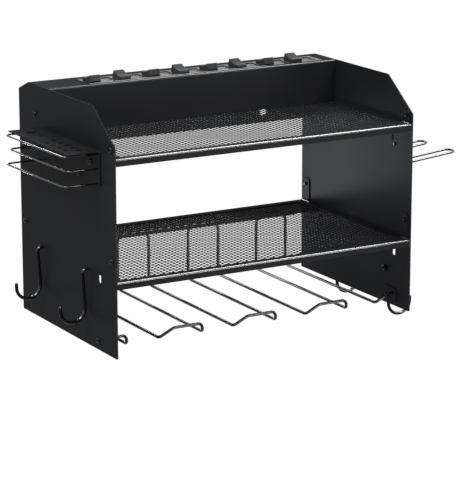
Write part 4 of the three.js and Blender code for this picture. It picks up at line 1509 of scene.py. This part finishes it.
@dataclass
class SlotHolder(SubAssembly):
    """The long wire with its four slots, the lugs at its ends and the bar that clamps its rear."""

    wire: float = 4.0
    slots: int = 4
    slot_width: float = 47.0
    rail: float = 7.5
    cross: float = 17.5
    front_inset: float = 36.0
    curl_reach: float = 5.5
    curl_bend: float = 4.6
    corner_bend: float = 4.2
    rise_run: float = 21.0
    rise_bend: float = 12.0
    rear_bend: float = 10.0
    clamped: float = 81.0
    lug_sheet: float = 1.5
    lug_border: float = 6.5
    lug_heights: Pair = (5.5, 24.0)
    lug_corner: float = 3.0
    bar_bend: float = 0.9
    bar_rise: float = 10.0
    bar_lip: float = 6.5

    def build(self) -> None:
        """Make the wire, its lugs and the clamp bar."""
        cab = self.cabinet
        front = self.front_inset - cab.depth
        back = -cab.sheet - cab.seam - self.wire / 2
        end = cab.width / 2 - cab.panel - 2 * cab.seam - self.lug_sheet
        pitch = cab.width / self.slots
        margin = (pitch - self.slot_width) / 2
        corners: list[Triple] = [(-end, front, self.cross)]
        radii: list[float] = []
        for slot in range(self.slots):
            left = -cab.width / 2 + margin + slot * pitch
            right = left + self.slot_width
            for corner, radius in (
                ((left, front, self.cross), self.curl_bend),
                ((left, front - self.curl_reach, self.rail), self.curl_bend),
                ((left, back, self.rail), self.rear_bend), ((left, back, self.clamped), self.rear_bend),
                ((right, back, self.clamped), self.rear_bend), ((right, back, self.rail), self.rear_bend),
                ((right, front, self.rail), self.corner_bend),
                ((right + self.rise_run, front, self.cross), self.rise_bend),
            ):
                corners.append(corner)
                radii.append(radius)
        corners.append((end, front, self.cross))
        self.shop.bend_wire("slot_wire", "drill_holder_wire", corners, radii, self.wire)
        for side in Side:
            self.cut_lug(side, front)
        self.fold_bar((cab.span - margin) / 2)

    def cut_lug(self, side: Side, front: float) -> None:
        """Cut the lug that takes one end of the wire.

        Args:
            side: Side of the lug.
            front: Where the wire meets the lug along Y.
        """
        cab = self.cabinet
        rear = cab.holder_seat[0] + self.lug_border
        outline = rectangle(front - self.lug_border, rear, *self.lug_heights)
        bm = start_mesh()
        middle = side.value * (cab.span / 2 - self.lug_sheet / 2)
        cut_sheet(bm, plane_x(middle), outline, cab.bore([cab.holder_seat]), self.lug_corner)
        self.shop.set_down(bm, f"lug_{side.key}", f"wire_lug_{side.key}", sheet=self.lug_sheet)

    def fold_bar(self, reach: float) -> None:
        """Fold the joggled bar over the rear of the wire.

        Args:
            reach: Half the bar's length.
        """
        cab = self.cabinet
        half, bend = cab.sheet / 2, self.bar_bend
        foot = -cab.sheet - cab.seam - half
        cover = foot - cab.seam - self.wire
        step = self.clamped + self.wire / 2 + cab.sheet
        bm = start_mesh()
        cut_sheet(
            bm, plane_y(foot), rectangle(-reach, reach, step + bend, step + self.bar_rise),
            cab.bore(cab.clamp_seats),
        )
        edge = fold_across(bm, reach, (foot, step + bend), (foot - bend, step + bend), -90)
        edge = draw_out(bm, edge, (0, cover - foot + 2 * bend, 0))
        edge = fold(bm, edge, (0, cover + bend, step - bend), ALONG_X, 90)
        draw_out(bm, edge, (0, 0, bend - self.bar_lip))
        close_up(bm)
        self.shop.set_down(bm, "clamp_bar_fold", "wire_clamp_bar", sheet=cab.sheet)


@dataclass
class JHooks(SubAssembly):
    """The four J hooks, each with a threaded stub and a nut inside the panel."""

    wire: float = 4.4
    bend: float = 5.0
    stub: float = 7.0
    leg: float = 49.0
    lean: float = 3.0
    bowl: float = 17.0
    tip: float = 6.0
    thread: float = 4.6
    # gloss and painted highlight on the hooks' sides and upward faces
    gloss: Pair = (0.0, 0.8)
    nut_radius: float = 4.4
    nut_height: float = 3.2
    nut_play: float = 0.15
    nut_rim: float = 0.35
    left_shares: Pair = (0.291, 0.7687)
    right_shares: Pair = (0.209, 0.683)
    right_height: float = 47.0

    def places(self, side: Side) -> list[Pair]:
        """Find the two hooks of a panel.

        Args:
            side: Which panel.

        Returns:
            (y, z) of the front and the rear hook.
        """
        cab = self.cabinet
        if side is Side.LEFT:
            return [((share - 1) * cab.depth, cab.lower_level) for share in self.left_shares]
        return [((share - 1) * cab.depth, self.right_height) for share in self.right_shares]

    def build(self) -> None:
        """Bend the hooks and make their nuts."""
        cab = self.cabinet
        leg, low = self.stub - self.lean, -self.leg - self.bowl
        far = leg + 2 * self.bowl
        shape = [
            (-cab.panel - cab.seam - self.thread, 0.0), (self.stub, 0.0), (leg, -self.leg), (leg, low),
            (far, low), (far, self.tip - self.leg),
        ]
        radii = [self.bend, self.bend, self.bowl - BETWEEN_BENDS, self.bowl - BETWEEN_BENDS]
        for side in Side:
            for where, (y, z) in zip(("front", "rear"), self.places(side)):
                key = f"{side.key}_{where}"
                corners = [(side.value * (cab.width / 2 + x), y, z + rise) for x, rise in shape]
                self.shop.bend_wire(
                    f"j_hook_{key}", f"hook_{key}", corners, radii, self.wire, (False, True), self.gloss
                )
                self.make_nut(side, key, (y, z))

    def make_nut(self, side: Side, key: str, place: Pair) -> None:
        """Make one hexagon nut.

        Args:
            side: Side of its panel.
            key: Side and place of its hook, as the nodes spell them.
            place: The hook's (y, z).
        """
        y, z = place
        middle = side.value * (self.cabinet.span - self.nut_height) / 2
        angles = [math.tau * (i + 0.5) / 6 for i in range(6)]
        outline = [(y + self.nut_radius * math.cos(a), z + self.nut_radius * math.sin(a)) for a in angles]
        bm = start_mesh()
        cut_sheet(bm, plane_x(middle), outline, [RoundHole(y, z, self.wire / 2 + self.nut_play)])
        self.shop.set_down(
            bm, f"nut_{key}", f"hook_nut_{key}", Finish.FASTENER, sheet=self.nut_height, rim=self.nut_rim
        )


@dataclass
class ToolRack(SubAssembly):
    """The folded rack plate on the left panel, with its punched top and three wire guards.

    Each row of round holes is its count, the steps to its first hole, its distance from the
    panel and its radius.
    """

    sheet: float = 1.5
    front_inset: float = 37.0
    length: float = 168.0
    plate_height: float = 43.5
    over_shelf: float = 3.5
    reach: float = 45.0
    bend: float = 1.6
    screw_end: float = 24.0
    screw_drop: float = 17.5
    low_screw: Pair = (55.0, 6.0)
    hole_share: float = 0.101
    hole_rows: tuple = ((5, 1.0, 19.0, 5.0), (4, 1.5, 34.0, 3.4))
    slot_share: float = 0.214
    slot_half: Pair = (8.0, 17.0)
    slot_out: float = 22.0
    slot_corner: float = 3.4
    wire: float = 2.4
    wire_drops: tuple[float, ...] = (4.1, 22.5, 40.9)
    wire_reaches: tuple[float, ...] = (46.5, 41.7, 46.5)
    wire_bend: float = 7.0
    wire_inset: float = 5.0
    # gloss and painted highlight on the guards' sides and upward faces
    gloss: Pair = (0.14, 0.6)

    @property
    def top(self) -> float:
        """Height of the rack's top face."""
        return self.cabinet.upper_level + self.over_shelf

    @property
    def front(self) -> float:
        """Front end of the rack."""
        return self.front_inset - self.cabinet.depth

    def screws(self) -> list[Pair]:
        """Find the rack's three screws.

        Returns:
            Their (y, z), from the front to the rear.
        """
        high = self.top - self.screw_drop
        inset, rise = self.low_screw
        return [
            (self.front + self.screw_end, high), (self.front + inset, self.top - self.plate_height + rise),
            (self.front + self.length - self.screw_end, high),
        ]

    def build(self) -> None:
        """Fold the plate, punch its top and bend the guards."""
        cab = self.cabinet
        half, panel = self.sheet / 2, -cab.width / 2
        front, rear = self.front, self.front + self.length
        face, top = panel - cab.seam - half, self.top - half
        inner, under = face - self.bend, top - self.bend
        bm = start_mesh()
        wall = rectangle(front, rear, self.top - self.plate_height, under)
        cut_sheet(bm, plane_x(face), wall, cab.bore(self.screws()))
        fold(bm, edges_along(bm, (face, front, under), (face, rear, under)), (inner, 0, under), ALONG_Y, -90)
        step = self.hole_share * self.length
        holes: list[Hole] = [
            RoundHole(panel - out, front + (i + first) * step, radius)
            for count, first, out, radius in self.hole_rows for i in range(count)
        ]
        slot_y = rear - self.slot_share * self.length
        holes.append(SquareHole.about(panel - self.slot_out, slot_y, self.slot_half, self.slot_corner))
        cut_sheet(bm, plane_z(top), rectangle(panel - self.reach, inner, front, rear), holes)
        close_up(bm)
        self.shop.set_down(bm, "rack_fold", "tool_rack_plate", sheet=self.sheet)
        start, inset = panel - 2 * cab.seam - self.sheet, self.wire_inset
        for i, (drop, out) in enumerate(zip(self.wire_drops, self.wire_reaches), start=1):
            x, z = panel - out, self.top - drop
            corners = [
                (start, front + inset, z), (x, front + inset, z),
                (x - inset, rear - inset, z), (start, rear - inset, z),
            ]
            radii = [self.wire_bend, self.wire_bend]
            self.shop.bend_wire(
                f"rack_guard_{i}", f"rack_wire_{i}", corners, radii, self.wire, gloss=self.gloss
            )


@dataclass
class HairpinHolder(SubAssembly):
    """The plate on the right panel with its two sloping hairpins."""

    sheet: float = 2.0
    front_inset: float = 22.0
    length: float = 98.0
    plate_height: float = 48.0
    under_shelf: float = 21.0
    corner: float = 3.0
    rim: float = 0.35
    screw_drop: float = 12.0
    wire: float = 3.0
    spacing: float = 18.0
    insets: Pair = (39.0, 102.0)
    seat: float = 10.0
    reach: float = 87.0
    rise: float = 8.0
    # gloss and painted highlight all over the hairpins
    gloss: Pair = (1.0, 1.0)

    @property
    def top(self) -> float:
        """Height of the plate's top edge."""
        return self.cabinet.upper_level - self.under_shelf

    def screws(self) -> list[Pair]:
        """Return (y, z) of the plate's screws."""
        return [(inset - self.cabinet.depth, self.top - self.screw_drop) for inset in self.insets]

    def build(self) -> None:
        """Cut the plate and bend the hairpins."""
        cab = self.cabinet
        front, foot = self.front_inset - cab.depth, self.top - self.plate_height
        outer = cab.width / 2 + cab.seam
        bm = start_mesh()
        outline = rectangle(front, front + self.length, foot, self.top)
        cut_sheet(bm, plane_x(outer + self.sheet / 2), outline, cab.bore(self.screws()), self.corner)
        self.shop.set_down(bm, "hairpin_plate", "side_holder_plate", sheet=self.sheet, rim=self.rim)
        face, half, z = outer + cab.seam + self.sheet, self.spacing / 2, foot + self.seat
        radii = [half - BETWEEN_BENDS, half - BETWEEN_BENDS]
        for where, inset in zip(("front", "rear"), self.insets):
            y = inset - cab.depth
            corners = [
                (face, y - half, z), (face + self.reach, y - half, z + self.rise),
                (face + self.reach, y + half, z + self.rise), (face, y + half, z),
            ]
            self.shop.bend_wire(
                f"hairpin_{where}", f"side_hairpin_{where}", corners, radii, self.wire, gloss=self.gloss
            )


# Studio


def aim(name: str, data: ID, place: Triple, look: Vector) -> Object:
    """Set up a lamp or a camera.

    Args:
        name: Its name.
        data: The lamp or the camera.
        place: Where it stands.
        look: Direction in which it looks.

    Returns:
        Its object.
    """
    made = put_in_scene(name, data)
    made.location = place
    made.rotation_euler = look.to_track_quat("-Z", "Y").to_euler()
    return made


@dataclass(frozen=True)
class SoftLamp:
    """A square soft box."""

    name: str
    place: Triple
    target: Triple
    size: float
    watts: float
    tint: Triple = (1.0, 1.0, 1.0)

    def build(self) -> None:
        """Hang the lamp and point it at its target."""
        light = bpy.data.lights.new(self.name, "AREA")
        light.color = self.tint
        light.shape = "SQUARE"
        light.size = self.size
        light.energy = self.watts
        aim(self.name, light, self.place, Vector(self.target) - Vector(self.place))


@dataclass
class Studio:
    """Camera, lamps, pale floor and white surroundings."""

    camera_place: Triple = (-1.4782, -2.7358, 0.6230)
    heading: float = math.radians(29.989)
    pitch: float = math.radians(14.342)
    focal_pixels: float = 2371.62
    picture_height: float = 488.0
    sensor: float = 36.0
    view_depth: float = 60.0
    floor_height: float = -0.80
    floor_size: float = 30.0
    floor_fade: Pair = (0.5, 1.6)
    floor_colour: tuple = (0.86, 0.86, 0.86, 1.0)
    floor_roughness: float = 0.9
    floor_specular: float = 0.1
    ambient: float = 0.55
    lamps: tuple[SoftLamp, ...] = (
        SoftLamp("key_box", (-1.1, -2.3, 1.7), (0.0, -0.13, -0.05), 0.6, 34.0),
        SoftLamp("side_box", (-0.75, -0.30, 0.75), (-0.2, -0.13, 0.0), 0.4, 17.0, (0.88, 0.92, 1.0)),
        SoftLamp("right_box", (1.9, -0.6, 0.9), (0.2, -0.13, 0.0), 0.6, 16.0),
        SoftLamp("edge_box", (1.03, -0.45, 1.7), (0.0, -0.2, 0.0), 0.7, 72.0),
        SoftLamp("front_box", (0.62, -1.35, 1.5), (-0.25, -0.2, 0.0), 0.35, 10.0),
        SoftLamp("low_box", (0.95, -2.0, -0.45), (0.0, -0.2, -0.05), 0.6, 26.0),
        SoftLamp("rear_box", (0.1, 1.9, 1.3), (0.0, -0.13, -0.05), 0.5, 18.0),
        SoftLamp("sheen_box", (-0.05, 0.33, -0.16), (0.21, -0.09, 0.02), 0.2, 2.0, (0.88, 0.91, 1.0)),
    )

    def build(self) -> None:
        """Set up the whole studio."""
        self.set_camera()
        for lamp in self.lamps:
            lamp.build()
        self.lay_floor()
        self.light_world()
        bpy.context.scene.view_settings.view_transform = "Standard"

    def set_camera(self) -> None:
        """Place the camera as the photograph's own was."""
        data = bpy.data.cameras.new("picture_camera")
        data.sensor_width = self.sensor
        data.lens = self.focal_pixels * self.sensor / self.picture_height
        data.clip_end = self.view_depth
        level = math.cos(self.pitch)
        look = Vector((math.sin(self.heading) * level, math.cos(self.heading) * level, -math.sin(self.pitch)))
        bpy.context.scene.camera = aim("picture_camera", data, self.camera_place, look)

    @staticmethod
    def seen_mask(draft: NodeDraft) -> Node:
        """Give one where a surface is seen straight, in gloss or through glass.

        Args:
            draft: The nodes that take it.

        Returns:
            The node.
        """
        path = draft.add("LightPath").outputs
        first = draft.add("Math", {0: path["Is Camera Ray"], 1: path["Is Glossy Ray"]}, operation="MAXIMUM")
        return draft.add("Math", {0: first, 1: path["Is Transmission Ray"]}, operation="MAXIMUM")

    def lay_floor(self) -> None:
        """Lay the pale floor, which fades to plain white away from the object."""
        bm = bmesh.new()
        level = Matrix.Translation((0.0, 0.0, self.floor_height))
        bmesh.ops.create_grid(bm, x_segments=1, y_segments=1, size=self.floor_size / 2, matrix=level)
        floor = keep_mesh(bm, "pale_floor")
        material = bpy.data.materials.new("pale_floor")
        material.use_nodes = True
        draft = NodeDraft(material.node_tree)
        shader = draft.tree.nodes["Principled BSDF"]
        draft.feed(shader, {
            "Base Color": self.floor_colour, "Roughness": self.floor_roughness,
            "Specular IOR Level": self.floor_specular,
        })
        reach = draft.add("VectorMath", {0: draft.add("TexCoord").outputs["Object"]}, operation="LENGTH")
        span = {"Value": reach, "From Min": self.floor_fade[0], "From Max": self.floor_fade[1]}
        fade = draft.add("MapRange", span, interpolation_type="SMOOTHSTEP")
        seen = draft.add("Math", {0: fade, 1: self.seen_mask(draft)}, operation="MULTIPLY")
        glow = draft.add("Emission", {"Color": WHITE})
        blend = draft.add("MixShader", {"Fac": seen, 1: shader, 2: glow})
        draft.feed(draft.tree.nodes["Material Output"], {"Surface": blend})
        floor.data.materials.append(material)

    def light_world(self) -> None:
        """Give soft light from all round, seen as plain white."""
        world = bpy.data.worlds.new("studio")
        bpy.context.scene.world = world
        world.use_nodes = True
        draft = NodeDraft(world.node_tree)
        seen = self.seen_mask(draft)
        strength = draft.add("MapRange", {"Value": seen, "To Min": self.ambient, "To Max": 1.0})
        draft.feed(draft.tree.nodes["Background"], {"Color": WHITE, "Strength": strength})


def main() -> None:
    """Load the frame and build every sub-assembly in order."""
    logging.basicConfig(level=logging.INFO, format="%(name)s: %(message)s")
    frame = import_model()
    Studio().build()
    shop = Workshop()
    shop.dress_nodes(frame)
    cabinet = Cabinet()
    hooks = JHooks(shop, cabinet)
    rack = ToolRack(shop, cabinet)
    hairpins = HairpinHolder(shop, cabinet)
    upper = Shelf(
        shop, cabinet, "upper_shelf", cabinet.upper_level, ear_rise=18.0, ear_screw=cabinet.upper_ear_screw,
        flange_drop=38.0, rear_ledge=cabinet.strip_depth + cabinet.seam, ear_insets=(cabinet.front_ear,),
        flange_holes=(Keyhole(-150.0, 226.5), Keyhole(150.0, 226.5)),
    )
    lower = Shelf(
        shop, cabinet, "lower_shelf", cabinet.lower_level, ear_rise=33.0, ear_screw=cabinet.lower_ear_screw,
        flange_drop=20.0, rear_ledge=12.0, ear_insets=(cabinet.front_ear, cabinet.depth - cabinet.rear_ear),
        notches=tuple(y for y, _ in hooks.places(Side.LEFT)),
        flange_holes=tuple(cabinet.bore(cabinet.clamp_seats)),
    )
    for maker in (
        SidePanels(shop, cabinet, hooks, rack, hairpins), upper, lower, ChargingStrip(shop, cabinet),
        SlotHolder(shop, cabinet), hooks, rack, hairpins, Fasteners(shop, cabinet, rack, hairpins),
    ):
        maker.build()
    LOG.info("%d pieces set down", shop.count)


if __name__ == "__main__":
    main()
